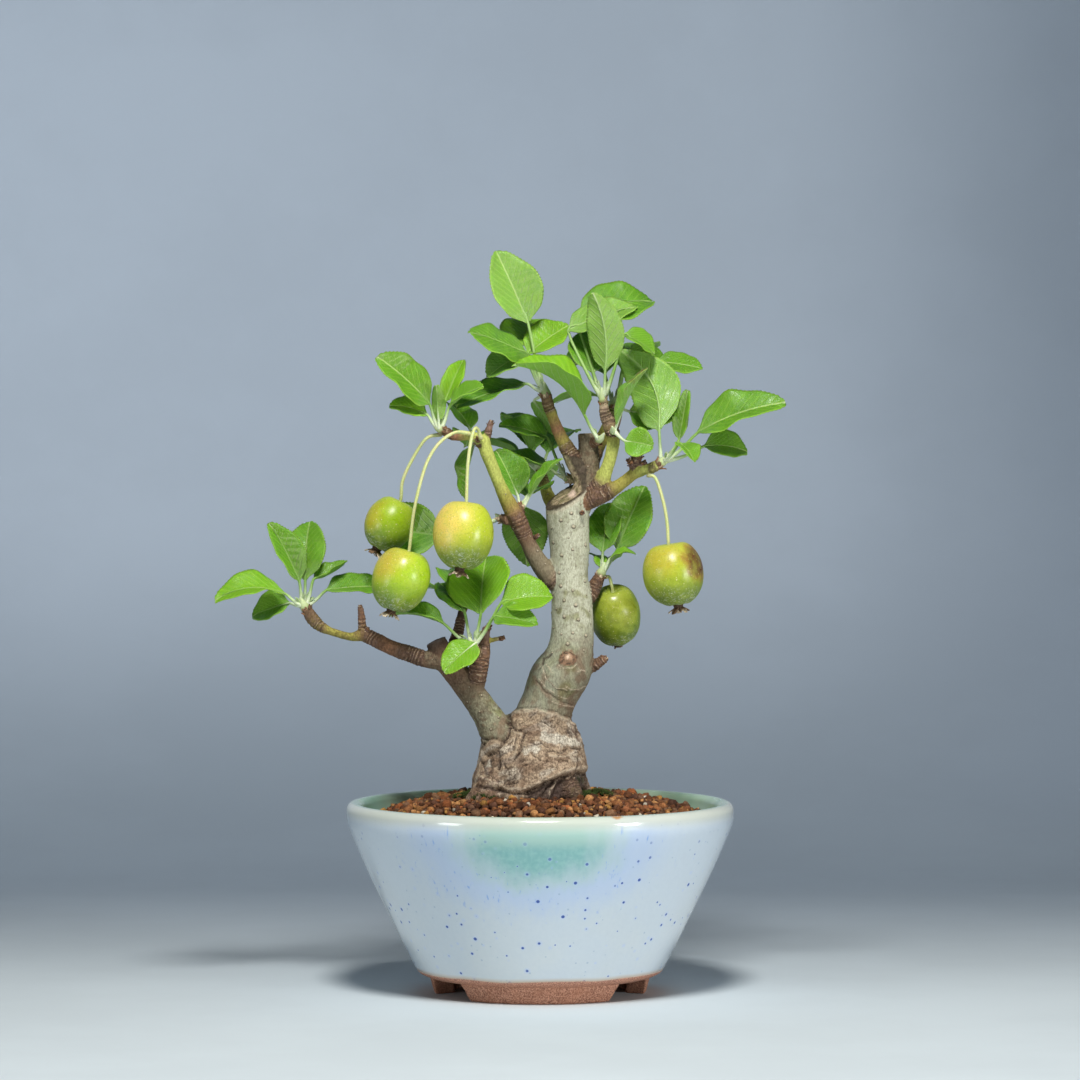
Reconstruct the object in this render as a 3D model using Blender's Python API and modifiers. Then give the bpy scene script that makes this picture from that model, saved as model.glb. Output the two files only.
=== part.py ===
"""A fruiting crabapple bonsai in its round glazed pot.

Every place and size below is in millimetres, measured from the pot's axis where its feet meet
the table: +X to the viewer's right, +Y away from the viewer, +Z up. The parts hang from one
empty that carries them to the middle of the whole tree's footprint.
"""

import math
import random
from collections import namedtuple

import bmesh
import bpy
from mathutils import Matrix, Vector, noise

MM = 0.001
GAP = 0.3
SPECK = 5.0

POT_AXIS = (13.2, 0.0)

LIP_RADIUS = 2.6
LIP_CENTRE = (62.1, 61.1)
OUTER_WALL = [(64.3, 56.6), (61.0, 48.4), (55.8, 37.0), (49.6, 24.4), (43.6, 12.2), (41.0, 7.6),
              (38.8, 6.2)]
FOOT_OUTER = (37.2, 35.3)
FOOT_INNER = (29.5, 28.5)
FOOT_HEIGHT = 6.2
FOOT_COUNT = 3
NOTCH_HALF_WIDTH = (8.8, 11.8)
NOTCH_TOP = 5.5
NOTCH_REACH = (26.0, 48.0)
RECESS_TOP = 5.6
DRAIN_RADIUS = 6.0
FLOOR_TOP = 11.0
INNER_WALL = [(35.0, 11.0), (38.2, 14.0), (48.6, 34.7), (57.2, 53.4)]
POT_SEGMENTS = 40

MESH_SIZE = 20.0
MESH_BARS = 4
MESH_BAR = 1.2
CLIP_WIRE = 0.5

SOIL_TOP = [(16.0, 66.6), (32.0, 65.8), (46.0, 62.8), (56.6, 58.6)]
SOIL_POCKET = (17.0, 2.8)
SOIL_SEGMENTS = 30
SOIL_RINGS = [55.2, 49.6, 43.6, 37.4, 31.0, 24.6, 18.0]
GRAIN_RELIEF = 1.3
GRAIN_SHIFT = 0.9

BLADE_THICKNESS = 0.75
BLADE_STATIONS = 6
SHORT_BLADE = (15.0, 4)
PETIOLE_STATIONS = 1
PETIOLE_RADIUS = 0.6
LEAF_START = 0.25
TOOTH = 0.13

# A limb is a run of (x, y, z, radius).
TRUNK = [
    (-3.0, 0.0, 46.0, 7.0), (-3.5, 0.0, 56.0, 14.0), (-4.0, 0.0, 64.5, 18.8), (-2.8, 0.0, 73.0, 18.6),
    (-2.2, 0.0, 81.0, 17.8), (-2.0, 0.0, 87.0, 16.2), (-0.5, 0.0, 92.0, 12.6), (2.4, -0.3, 97.0, 10.5),
    (5.4, -0.6, 102.5, 10.0), (8.4, -1.0, 108.5, 9.1), (10.2, -1.0, 114.5, 7.7), (10.8, -0.8, 121.0, 7.1),
    (10.6, -0.4, 130.0, 6.8), (9.7, 0.0, 139.0, 6.3), (9.9, 0.0, 149.0, 6.6), (9.2, 0.0, 159.0, 7.2),
    (9.2, 0.0, 173.0, 7.4),
]
ROOTS = {
    "root_front_left": [(-8.0, -6.0, 76.0, 8.0), (-15.0, -10.0, 69.0, 6.5), (-22.0, -13.0, 61.0, 4.5),
                        (-26.0, -15.0, 54.0, 3.0)],
    "root_front_right": [(5.0, -6.0, 77.0, 6.0), (9.5, -11.0, 70.0, 4.8), (14.0, -14.5, 62.0, 3.8),
                         (17.0, -17.0, 55.0, 2.6)],
    "root_right": [(7.5, 2.0, 75.0, 7.5), (12.0, 4.0, 66.0, 5.3), (17.0, 6.0, 57.0, 3.4)],
    "root_back": [(0.0, 8.0, 76.0, 7.5), (2.0, 15.0, 67.0, 5.5), (4.0, 21.0, 58.0, 3.4)],
    "root_back_left": [(-9.0, 5.0, 76.0, 8.0), (-16.0, 9.0, 66.0, 5.5), (-22.0, 13.0, 57.0, 3.4)],
}
LIMBS = {
    "second_trunk": [(-8.0, -2.0, 76.0, 9.0), (-12.5, -3.0, 84.0, 7.2), (-16.5, -4.0, 91.0, 5.2),
                     (-20.0, -5.0, 96.5, 4.6), (-23.6, -6.0, 101.5, 4.4), (-27.8, -6.5, 107.0, 4.3),
                     (-32.0, -7.0, 111.2, 3.9), (-37.0, -7.0, 111.8, 2.9)],
    "low_branch": [(-33.0, -7.0, 111.0, 3.2), (-38.0, -7.0, 111.6, 2.7), (-43.5, -6.5, 113.5, 2.6),
                   (-49.0, -6.0, 115.2, 2.5), (-54.7, -5.5, 118.0, 2.3), (-58.7, -5.0, 119.6, 2.2),
                   (-63.0, -4.8, 119.0, 1.4), (-68.6, -4.5, 120.5, 1.3), (-72.6, -4.2, 122.2, 1.7),
                   (-75.4, -4.0, 124.6, 2.0), (-77.4, -4.0, 127.6, 1.8)],
    "low_twig": [(-59.0, -5.0, 119.0, 1.7), (-59.2, -5.0, 123.5, 1.3), (-59.8, -5.2, 129.6, 0.7)],
    "cut_stub": [(-31.5, -7.0, 111.5, 3.6), (-34.6, -7.6, 117.8, 3.5)],
    "upright_spur": [(-22.0, -6.5, 101.0, 3.4), (-20.6, -8.5, 107.5, 3.1), (-19.4, -9.0, 113.0, 2.7),
                     (-18.6, -9.0, 118.0, 1.9), (-17.6, -9.0, 122.5, 1.3)],
    "spur_side": [(-19.2, -9.0, 112.0, 2.0), (-21.4, -11.6, 115.2, 1.5)],
    "spur_twig": [(-18.0, -9.0, 117.6, 0.9), (-12.6, -9.5, 118.9, 0.7)],
    "dark_twig": [(-27.5, -4.5, 108.0, 2.6), (-29.0, -1.5, 114.0, 2.1), (-27.4, 0.5, 120.0, 1.8),
                  (-25.9, 1.5, 127.4, 1.4)],
    "left_branch": [(8.0, 0.0, 136.0, 4.2), (3.0, -1.5, 139.5, 3.6), (-1.7, -3.0, 145.8, 2.9),
                    (-4.9, -4.5, 152.4, 2.6), (-7.4, -5.5, 157.7, 2.9), (-10.3, -6.5, 163.2, 2.6),
                    (-13.2, -7.5, 169.2, 2.1), (-15.6, -8.5, 175.2, 2.1), (-17.6, -9.5, 180.2, 2.2),
                    (-18.9, -10.0, 184.8, 2.2)],
    "left_stub": [(-18.4, -10.0, 183.5, 1.5), (-17.0, -9.6, 187.6, 1.1), (-16.4, -9.4, 190.6, 0.8)],
    "left_twig": [(-18.9, -10.0, 184.0, 1.9), (-22.6, -10.0, 185.8, 1.6), (-28.2, -10.0, 185.7, 1.4),
                  (-31.6, -10.0, 187.4, 1.5)],
    "ring_spur": [(-8.2, -5.5, 160.0, 2.0), (-6.8, -2.4, 161.6, 1.5)],
    "behind_spur": [(-10.2, -6.4, 158.0, 1.9), (-12.2, -3.2, 158.2, 1.4)],
    "leader_stub": [(12.6, 0.0, 162.0, 4.6), (15.0, 0.0, 168.4, 4.0), (16.4, 0.0, 175.0, 3.5),
                    (16.2, 0.0, 181.0, 3.3), (16.0, 0.0, 186.6, 3.4)],
    "top_twig": [(15.6, 0.0, 169.0, 2.8), (12.2, -1.0, 175.2, 2.8), (9.8, -1.5, 180.2, 2.6),
                 (6.9, -2.0, 185.7, 2.1), (4.9, -2.5, 190.2, 1.9), (3.0, -2.5, 195.2, 1.7),
                 (2.2, -2.5, 198.6, 1.9)],
    "right_twig": [(15.0, -0.5, 167.0, 3.2), (20.0, -2.5, 169.6, 2.7), (22.0, -3.5, 174.4, 2.2),
                   (23.6, -4.5, 179.4, 2.1), (24.4, -5.0, 185.2, 2.2), (23.2, -5.5, 189.4, 2.3),
                   (21.6, -6.0, 193.2, 1.7), (21.1, -6.2, 196.6, 1.5)],
    "dry_twig": [(24.0, -5.2, 186.0, 1.4), (26.2, -4.8, 191.2, 0.8), (27.4, -4.6, 196.4, 0.7)],
    "right_branch": [(13.0, -1.5, 163.0, 3.4), (18.0, -3.0, 165.2, 3.0), (22.4, -4.2, 167.2, 2.7),
                     (26.6, -5.0, 169.6, 2.1), (30.6, -5.6, 172.8, 1.9), (34.0, -6.0, 174.6, 2.0),
                     (37.2, -6.4, 175.2, 1.7), (39.2, -6.8, 176.4, 1.7)],
    "bud_twig": [(31.4, -5.6, 173.0, 1.7), (31.8, -5.6, 177.2, 1.8), (32.4, -5.6, 179.6, 1.3)],
    "right_spur": [(12.0, 0.0, 129.0, 3.4), (16.8, 1.5, 132.8, 2.5), (18.8, 2.2, 136.4, 2.1),
                   (19.8, 2.4, 138.6, 1.8)],
    "right_nub": [(14.5, -1.0, 107.4, 2.2), (18.6, -1.8, 109.6, 1.7), (21.6, -2.2, 111.8, 1.5)],
    "front_knob": [(9.4, -4.0, 111.4, 3.6), (9.1, -9.8, 111.8, 2.4)],
    "back_branch": [(9.8, 2.0, 150.0, 4.2), (8.0, 8.0, 154.6, 3.2), (5.4, 14.0, 160.0, 2.6),
                    (2.4, 19.0, 166.4, 2.1), (0.4, 22.0, 172.4, 1.8)],
    "back_twig": [(16.2, 1.0, 176.0, 2.9), (19.2, 6.0, 181.6, 2.4), (22.4, 10.6, 188.4, 2.0),
                  (24.4, 13.0, 194.6, 1.7)],
    "collar_spur": [(14.4, 1.4, 171.6, 2.4), (10.8, 4.6, 171.4, 1.5)],
    "stub_bud": [(17.0, -1.0, 183.0, 2.0), (19.0, -4.4, 184.2, 1.4)],
    "node_bud": [(24.4, -5.2, 186.8, 2.0), (24.2, -8.6, 187.2, 1.2)],
    "tip_bud": [(-18.9, -10.0, 183.0, 1.9), (-20.4, -6.6, 183.8, 1.3)],
}
TRUNK_SIDES = 12
TRUNK_TOP_CUT = ((9.2, 0.0, 166.2), (-0.55, -0.35, 1.0))
BARK_RELIEF = 1.3

# A leaf: compass heading (0 right, 90 away from the viewer), rise and size of the blade,
# then its petiole. Roll turns the blade about its midrib, droop arches it, sweep curves it sideways,
# and petiole_turn is how far the petiole heads away from the blade's own heading.
Leaf = namedtuple("Leaf", "heading rise blade width petiole petiole_rise roll droop fold sweep petiole_turn",
                  defaults=(0.0, 0.10, 24.0, 0.0, 0.0))
# A spur: the limb whose tip bears it, and its leaves.
SPURS = {
    "leaves_far_left": ("low_branch", [
        Leaf(196, -3, 24, 14, 7.5, 34, -25, 0.14),
        Leaf(165, -18, 14, 12, 5.0, 12, -50, 0.04),
        Leaf(172, 63, 22, 12, 8.5, 80, -50, 0.05, 40),
        Leaf(82, 66, 21, 14, 9.0, 82, 0, 0.14, 20),
        Leaf(18, 26, 13, 8, 9.5, 72, 20, -0.06, 45),
        Leaf(16, 2, 20, 12, 9.0, 36, 30, 0.04),
    ]),
    "leaves_left_crown": ("left_twig", [
        Leaf(200, 40, 24, 16, 9.0, 68, -55, 0.05, 20),
        Leaf(186, 12, 13, 10, 6.0, 50, -40, 0.10),
        Leaf(256, 76, 12, 5, 3.0, 66, 0, 0.0, 40),
        Leaf(338, 28, 14, 12, 8.0, 66, 30, 0.08),
        Leaf(48, 58, 17, 8, 9.0, 76, 30, 0.05, 40),
    ]),
    "leaves_low_front": ("spur_side", [
        Leaf(84, 46, 24, 24, 11.0, 76, -14, 0.06, 26, 0.0, -60),
        Leaf(4, 5, 17, 17, 17.0, 57, 50, 0.10, 26),
        Leaf(340, -8, 15.5, 12, 12.0, 54, 40, 0.06),
        Leaf(168, 8, 19, 11, 12.0, 37, -20, 0.10, 36),
        Leaf(215, -35, 15.5, 10.5, 2.0, 30, -35, 0.05, 12, 0.0, 85),
        Leaf(130, 34, 16, 12, 12.0, 70, -20, 0.06),
    ]),
    "leaves_crown_left": ("top_twig", [
        Leaf(165, 65, 26.2, 19.5, 24.0, 76, -58, 0.03, 32),
        Leaf(205, 20, 22.5, 19, 14.0, 64, -38, 0.03, 0),
        Leaf(34, 29, 19, 14, 14.0, 65, 30, 0.04, 25, 0.0, 130),
        Leaf(96, 31, 20, 21, 15.2, 70, 0, 0.04, 14, 0.0, 42),
        Leaf(200, -30, 15, 14, 14.0, 60, -35, 0.10),
        Leaf(188, -17, 24.8, 13.5, 6.7, 25, -22, 0.03, 18),
        Leaf(50, -45, 15, 9, 5.0, -35, 0, 0.03, 20, 0.0, 100),
    ]),
    "leaves_crown_right": ("right_twig", [
        Leaf(232, 75, 26.2, 12.5, 9.5, 86, 30, 0.03, 24, 0.07, 98),
        Leaf(2, 20, 24.6, 15, 26.0, 60, 40, 0.05, 15, 0.0, 148),
        Leaf(14, 16, 27, 19, 28.0, 65, 46, 0.13, 16, 0.0, 116),
        Leaf(10, -30, 12, 13, 22.0, 72, 30, 0.08, 20),
        Leaf(95, 50, 18, 16, 10.0, 60, 0, 0.05, 20, 0.0, 35),
    ]),
    "leaves_right_end": ("right_branch", [
        Leaf(150, 60, 31, 17, 10.6, 84, 110, 0.06, 16, 0.15),
        Leaf(350, 17, 31, 17, 15.0, 40, 40, 0.08, 24),
        Leaf(14, -8, 15, 12, 15.0, 20, 46, 0.10, 20),
        Leaf(304, -36, 10, 9, 11.0, 34, 0, 0.10),
        Leaf(40, 76, 17, 7, 10.0, 46, 30, 0.0, 50),
    ]),
    "leaves_trunk_right": ("right_spur", [
        Leaf(70, 62, 18, 13, 7.0, 82, 0, 0.06),
        Leaf(14, 66, 23, 16, 9.5, 56, 62, 0.06, 20),
        Leaf(348, 12, 9, 5, 5.0, 60, 20, 0.18),
        Leaf(96, 40, 6, 4, 2.0, 60, 0, 0.08),
        Leaf(84, -6, 15, 12, 8.0, 26, 0, 0.10),
    ]),
    "leaves_behind_branch": ("ring_spur", [
        Leaf(150, 60, 17, 14, 4.0, 70, -40, 0.06),
        Leaf(348, 50, 17, 8, 4.0, 54, 30, 0.05, 40),
        Leaf(66, 10, 15, 14, 5.0, 40, 0, 0.08),
        Leaf(84, -60, 23, 15, 4.0, 0, 0, 0.04, 10),
    ]),
    "leaves_behind_fruit": ("behind_spur", [
        Leaf(158, 6, 26, 20, 22.0, -16, -72, 0.04),
        Leaf(140, -18, 12, 12, 4.0, -20, -50, 0.08),
    ]),
    "leaves_branch_top": ("tip_bud", [
        Leaf(200, -80, 18, 13, 1.5, -60, 0, 0.04),
        Leaf(100, -14, 16, 12, 5.0, 20, 0, 0.10),
        Leaf(130, 34, 15, 11, 5.0, 50, 0, 0.10),
    ]),
    "leaves_crown_middle": ("stub_bud", [
        Leaf(206, 32, 30.5, 24, 10.2, 56, -26, 0.13, 42),
    ]),
    "leaves_node": ("node_bud", [
        Leaf(344, -10, 10, 10, 5.0, -40, 66, 0.06, 16),
        Leaf(346, 62, 22, 11, 2.0, 60, 20, 0.05, 34),
    ]),
    "leaves_crown_back": ("back_twig", [
        Leaf(16, -12, 15, 14, 17.0, 76, 20, 0.10),
        Leaf(350, -10, 16, 12, 20.0, 46, 35, 0.04, 10),
        Leaf(56, 20, 22, 16, 13.0, 68, 0, 0.10),
        Leaf(120, 10, 22, 16, 12.0, 60, 0, 0.10),
        Leaf(350, -6, 16, 16, 5.5, -25, 60, 0.03),
        Leaf(178, -12, 16, 12, 6.0, 30, 0, 0.10),
    ]),
    "leaves_back_left": ("collar_spur", [
        Leaf(164, 4, 20, 13, 8.0, 30, -10, 0.08),
        Leaf(176, 14, 17, 12, 15.0, 64, -30, 0.08),
        Leaf(50, -20, 15, 12, 5.0, 10, 0, 0.10),
    ]),
    "leaves_back": ("back_branch", [
        Leaf(60, 20, 20, 15, 8.0, 50, 0, 0.10),
        Leaf(120, 30, 22, 16, 8.0, 60, 0, 0.10),
        Leaf(170, 10, 20, 14, 8.0, 40, 0, 0.10),
        Leaf(90, -22, 20, 14, 5.0, 10, 0, 0.10),
        Leaf(200, 50, 17, 13, 7.0, 66, 0, 0.08),
    ]),
    "leaves_low_back": ("dark_twig", [
        Leaf(140, 14, 14, 11, 4.0, 30, 0, 0.10),
        Leaf(104, 20, 19, 14, 6.0, 50, 0, 0.10),
        Leaf(52, 24, 16, 12, 5.0, 50, 0, 0.10),
    ]),
}

# A fruit: its centre, its width and height, the lean of its axis along X and Y, and the route of
# its stalk down to it.
Fruit = namedtuple("Fruit", "centre width height lean stalk")
FRUITS = {
    "fruit_left_back": Fruit((-50.2, -4.0, 156.4), 16.4, 17.6, (0.50, 0.0), [
        (-32.6, -7.3, 186.4), (-37.8, -7.2, 184.9), (-42.4, -6.6, 178.0), (-45.6, -5.6, 171.0)]),
    "fruit_left_low": Fruit((-46.0, -18.0, 138.4), 19.2, 20.6, (0.30, 0.0), [
        (-22.9, -12.6, 186.6), (-28.0, -14.0, 187.0), (-33.2, -15.4, 183.6), (-37.2, -16.2, 177.4),
        (-40.0, -17.0, 168.4),
        (-41.8, -17.6, 159.4)]),
    "fruit_front": Fruit((-25.3, -22.0, 153.2), 20.2, 22.2, (0.10, 0.10), [
        (-19.5, -13.3, 184.8), (-20.4, -15.0, 187.8), (-21.6, -17.0, 188.2), (-22.8, -18.6, 184.0),
        (-23.8, -19.9, 176.0)]),
    "fruit_right": Fruit((44.2, -9.0, 140.0), 20.4, 20.8, (-0.16, 0.0), [
        (35.6, -8.4, 172.9), (38.4, -9.4, 171.6), (41.0, -9.4, 163.6), (42.2, -9.2, 156.6)]),
    "fruit_behind_trunk": Fruit((25.2, 10.0, 125.4), 17.4, 20.2, (-0.10, -0.4), [
        (21.9, 4.4, 138.6), (23.2, 6.6, 138.4)]),
}
FRUIT_SEGMENTS = 14
STALK_RADIUS = 0.75

COLOURS = {
    "glaze": ((0.66, 0.74, 0.80), 0.15),
    "plastic_net": ((0.05, 0.05, 0.05), 0.6),
    "wire": ((0.55, 0.42, 0.30), 0.4),
    "soil": ((0.30, 0.14, 0.06), 0.9),
    "bark": ((0.30, 0.26, 0.19), 0.85),
    "leaf": ((0.20, 0.42, 0.04), 0.45),
    "fruit_skin": ((0.42, 0.48, 0.06), 0.35),
    "fruit_stalk": ((0.62, 0.62, 0.22), 0.5),
    "calyx": ((0.16, 0.09, 0.05), 0.85),
}


def clear_scene():
    for old in list(bpy.data.objects):
        bpy.data.objects.remove(old)


def new_collection(name):
    collection = bpy.data.collections.new(name)
    bpy.context.scene.collection.children.link(collection)
    return collection


def new_material(name):
    colour, roughness = COLOURS[name]
    material = bpy.data.materials.new(name)
    material.use_nodes = True
    shader = material.node_tree.nodes["Principled BSDF"]
    shader.inputs["Base Color"].default_value = (*colour, 1.0)
    shader.inputs["Roughness"].default_value = roughness
    return material


def add_object(name, data, collection):
    made = bpy.data.objects.new(name, data)
    collection.objects.link(made)
    return made


def evaluated_mesh(obj):
    graph = bpy.context.evaluated_depsgraph_get()
    return bpy.data.meshes.new_from_object(obj.evaluated_get(graph))


def welded_mesh(obj):
    """The object's evaluated mesh, with a curve's loose caps welded on and its normals outward."""
    mesh = evaluated_mesh(obj)
    bm = bmesh.new()
    bm.from_mesh(mesh)
    bmesh.ops.remove_doubles(bm, verts=bm.verts, dist=1e-6)
    bmesh.ops.recalc_face_normals(bm, faces=bm.faces)
    bm.to_mesh(mesh)
    bm.free()
    return mesh


def drop_specks(mesh):
    """Fills the specks of sealed space that crossing sheets shut in, and drops specks of their own."""
    bm = bmesh.new()
    bm.from_mesh(mesh)
    unseen = set(bm.faces)
    while unseen:
        island = [unseen.pop()]
        for face in island:
            for other in (f for edge in face.edges for f in edge.link_faces):
                if other in unseen:
                    unseen.remove(other)
                    island.append(other)
        volume = sum(a.co.dot(b.co.cross(c.co)) for face in island for a, b, c in fan(face)) / 6
        if volume < SPECK * MM ** 3:
            bmesh.ops.delete(bm, geom=island, context="FACES")
    bm.to_mesh(mesh)
    bm.free()


def fan(face):
    first, *rest = face.verts
    return [(first, b, c) for b, c in zip(rest, rest[1:])]


def settled(obj):
    """Swaps an object for a plain mesh object with its modifiers and curve shape applied."""
    name, collection, place = obj.name, obj.users_collection[0], obj.matrix_world.copy()
    made = add_object(name + "_mesh", welded_mesh(obj), collection)
    made.matrix_world = place
    bpy.data.objects.remove(obj)
    return made


def fuse(name, pieces, collection, solver="MANIFOLD"):
    """One object from closed pieces that overlap, by one Boolean union on a collection."""
    first, *others = pieces
    workshop = new_collection(name + "_pieces")
    for piece in others:
        for home in list(piece.users_collection):
            home.objects.unlink(piece)
        workshop.objects.link(piece)
    if others:
        union = first.modifiers.new("join", "BOOLEAN")
        union.operand_type = "COLLECTION"
        union.collection = workshop
        union.operation = "UNION"
        union.solver = solver
    bpy.context.view_layer.update()
    made = add_object(name, evaluated_mesh(first), collection)
    drop_specks(made.data)
    for piece in pieces:
        bpy.data.objects.remove(piece)
    bpy.data.collections.remove(workshop)
    return made


def carve(obj, cutters):
    """Takes the cutters out of a mesh object, then drops them."""
    workshop = new_collection("cutters_now")
    for cutter in cutters:
        for home in list(cutter.users_collection):
            home.objects.unlink(cutter)
        workshop.objects.link(cutter)
    cut = obj.modifiers.new("cut", "BOOLEAN")
    cut.operand_type = "COLLECTION"
    cut.collection = workshop
    cut.operation = "DIFFERENCE"
    cut.solver = "MANIFOLD"
    bpy.context.view_layer.update()
    mesh = evaluated_mesh(obj)
    obj.modifiers.clear()
    obj.data = mesh
    for cutter in cutters:
        bpy.data.objects.remove(cutter)
    bpy.data.collections.remove(workshop)


def finish(obj, material, smooth=False):
    obj.data.materials.clear()
    obj.data.materials.append(material)
    if smooth and obj.type == "MESH":
        obj.data.shade_smooth()
        obj.data.set_sharp_from_angle(angle=math.radians(40))
    return obj


def turned(name, profile, segments, collection):
    """A solid turned about Z. The profile of (radius, z) runs down its outer side."""
    mesh = bpy.data.meshes.new(name)
    bm = bmesh.new()
    points = [bm.verts.new((r * MM, 0.0, z * MM)) for r, z in profile]
    on_axis = profile[0][0] == 0.0 and profile[-1][0] == 0.0
    ends = points if on_axis else points + points[:1]
    for a, b in zip(ends, ends[1:]):
        bm.edges.new((a, b))
    bm.to_mesh(mesh)
    bm.free()
    made = add_object(name, mesh, collection)
    screw = made.modifiers.new("turn", "SCREW")
    screw.steps = screw.render_steps = segments
    screw.use_merge_vertices = True
    screw.merge_threshold = 0.00001
    return made


def arc(centre, radius, start, end, steps):
    return [(centre[0] + radius * math.cos(math.radians(start + (end - start) * i / steps)),
             centre[1] + radius * math.sin(math.radians(start + (end - start) * i / steps)))
            for i in range(steps + 1)]


def tube(name, route, collection, resolution, grow=0.0):
    """A round tube along (x, y, z, radius) points, with filled caps."""
    data = bpy.data.curves.new(name, "CURVE")
    data.dimensions = "3D"
    data.bevel_depth = MM
    data.bevel_resolution = resolution
    data.use_fill_caps = True
    spline = data.splines.new("POLY")
    spline.points.add(len(route) - 1)
    for point, (x, y, z, radius) in zip(spline.points, route):
        point.co = (x * MM, y * MM, z * MM, 1.0)
        point.radius = radius + grow
    return add_object(name, data, collection)


def eased(route, steps):
    """More points on a smooth curve through the route's own, by Catmull and Rom's rule."""
    points = [Vector(p) for p in route]
    ends = [2 * points[0] - points[1], *points, 2 * points[-1] - points[-2]]
    made = []
    for a, b, c, d in zip(ends, ends[1:], ends[2:], ends[3:]):
        for i in range(steps):
            t = i / steps
            curve = (2 * a - 5 * b + 4 * c - d) * t * t + (3 * b - a - 3 * c + d) * t ** 3
            made.append(0.5 * (2 * b + (c - a) * t + curve))
    return [tuple(p) for p in made] + [tuple(points[-1])]


def direction(heading, rise):
    h, r = math.radians(heading), math.radians(rise)
    return Vector((math.cos(h) * math.cos(r), math.sin(h) * math.cos(r), math.sin(r)))


def build_pot(collection):
    """One fired piece: a turned bowl with a rolled lip, and a foot ring cut into three feet."""
    lip = arc(LIP_CENTRE, LIP_RADIUS, 180, 0, 4)
    outer = [(FOOT_OUTER[0], FOOT_HEIGHT - 0.4), (FOOT_OUTER[1], 0.0)]
    foot = outer + [(FOOT_INNER[1], 0.0), (FOOT_INNER[0], RECESS_TOP)]
    floor = [(DRAIN_RADIUS, RECESS_TOP), (DRAIN_RADIUS, FLOOR_TOP)]
    pot = turned("pot", lip + OUTER_WALL + foot + floor + INNER_WALL, POT_SEGMENTS, collection)
    return pot


def build_notches():
    """Three tapered cutters, midway between the feet. The first foot faces the viewer."""
    cutters = []
    narrow, wide = NOTCH_HALF_WIDTH
    drop = 4.0
    steep = (wide - narrow) / FOOT_HEIGHT
    inner, outer = NOTCH_REACH
    for i in range(FOOT_COUNT):
        bm = bmesh.new()
        low = wide + steep * drop
        outline = [(-low, -drop), (low, -drop), (narrow, NOTCH_TOP), (-narrow, NOTCH_TOP)]
        face = bm.faces.new([bm.verts.new((inner * MM, t * MM, z * MM)) for t, z in outline])
        grown = bmesh.ops.extrude_face_region(bm, geom=[face])
        moved = [v for v in grown["geom"] if isinstance(v, bmesh.types.BMVert)]
        bmesh.ops.translate(bm, verts=moved, vec=((outer - inner) * MM, 0.0, 0.0))
        bmesh.ops.recalc_face_normals(bm, faces=bm.faces)
        turn = math.radians(-90 + 60 + i * 360 / FOOT_COUNT)
        bmesh.ops.rotate(bm, verts=bm.verts, cent=(0, 0, 0), matrix=Matrix.Rotation(turn, 3, "Z"))
        mesh = bpy.data.meshes.new("notch")
        bm.to_mesh(mesh)
        bm.free()
        cutters.append(add_object(f"notch_{i}", mesh, bpy.context.scene.collection))
    return cutters


def box(name, low, high, collection):
    bm = bmesh.new()
    bmesh.ops.create_cube(bm, size=1.0)
    size = Vector(high) - Vector(low)
    centre = (Vector(high) + Vector(low)) / 2
    bmesh.ops.scale(bm, verts=bm.verts, vec=size * MM)
    bmesh.ops.translate(bm, verts=bm.verts, vec=centre * MM)
    mesh = bpy.data.meshes.new(name)
    bm.to_mesh(mesh)
    bm.free()
    return add_object(name, mesh, collection)


def build_drain_net(collection):
    """The square of plastic net that keeps the soil in: crossed bars, lying on the pot's floor."""
    half, bar, bottom = MESH_SIZE / 2, MESH_BAR / 2, FLOOR_TOP + GAP
    pitch = (MESH_SIZE - MESH_BAR) / (MESH_BARS - 1)
    bars = []
    for i in range(MESH_BARS):
        at = -half + bar + i * pitch
        top = bottom + MESH_BAR
        bars.append(box(f"bar_x{i}", (-half, at - bar, bottom), (half, at + bar, top), collection))
        bars.append(box(f"bar_y{i}", (at - bar, -half, bottom), (at + bar, half, top), collection))
    return fuse("drain_net", bars, collection)


def build_clip(collection):
    """The wire staple that holds the net: over it, down through the drain hole and out under the floor."""
    pitch = (MESH_SIZE - MESH_BAR) / (MESH_BARS - 1)
    x, y = (pitch + MESH_BAR) / 2 + CLIP_WIRE + GAP, 0.0
    top = FLOOR_TOP + GAP + MESH_BAR + GAP + CLIP_WIRE
    under = RECESS_TOP - GAP - CLIP_WIRE
    route = [(-9.0, y, under, CLIP_WIRE), (-x - 0.7, y, under, CLIP_WIRE), (-x, y, under + 0.7, CLIP_WIRE),
             (-x, y, top - 0.7, CLIP_WIRE), (-x + 0.7, y, top, CLIP_WIRE), (x - 0.7, y, top, CLIP_WIRE),
             (x, y, top - 0.7, CLIP_WIRE), (x, y, under + 0.7, CLIP_WIRE), (x + 0.7, y, under, CLIP_WIRE),
             (9.0, y, under, CLIP_WIRE)]
    return tube("net_clip", route, collection, 1)


def rough(mesh, amount):
    """Pushes the burl's skin in and out, more round the foot of the trunk than above it."""
    for v in mesh.vertices:
        p = v.co / MM
        low = max(0.0, min(1.0, (104.0 - p.z) / 14.0))
        swell = noise.noise(p / 9.0) + 0.5 * noise.noise(p / 4.0)
        v.co += v.normal * (amount * low * swell * MM)


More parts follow.
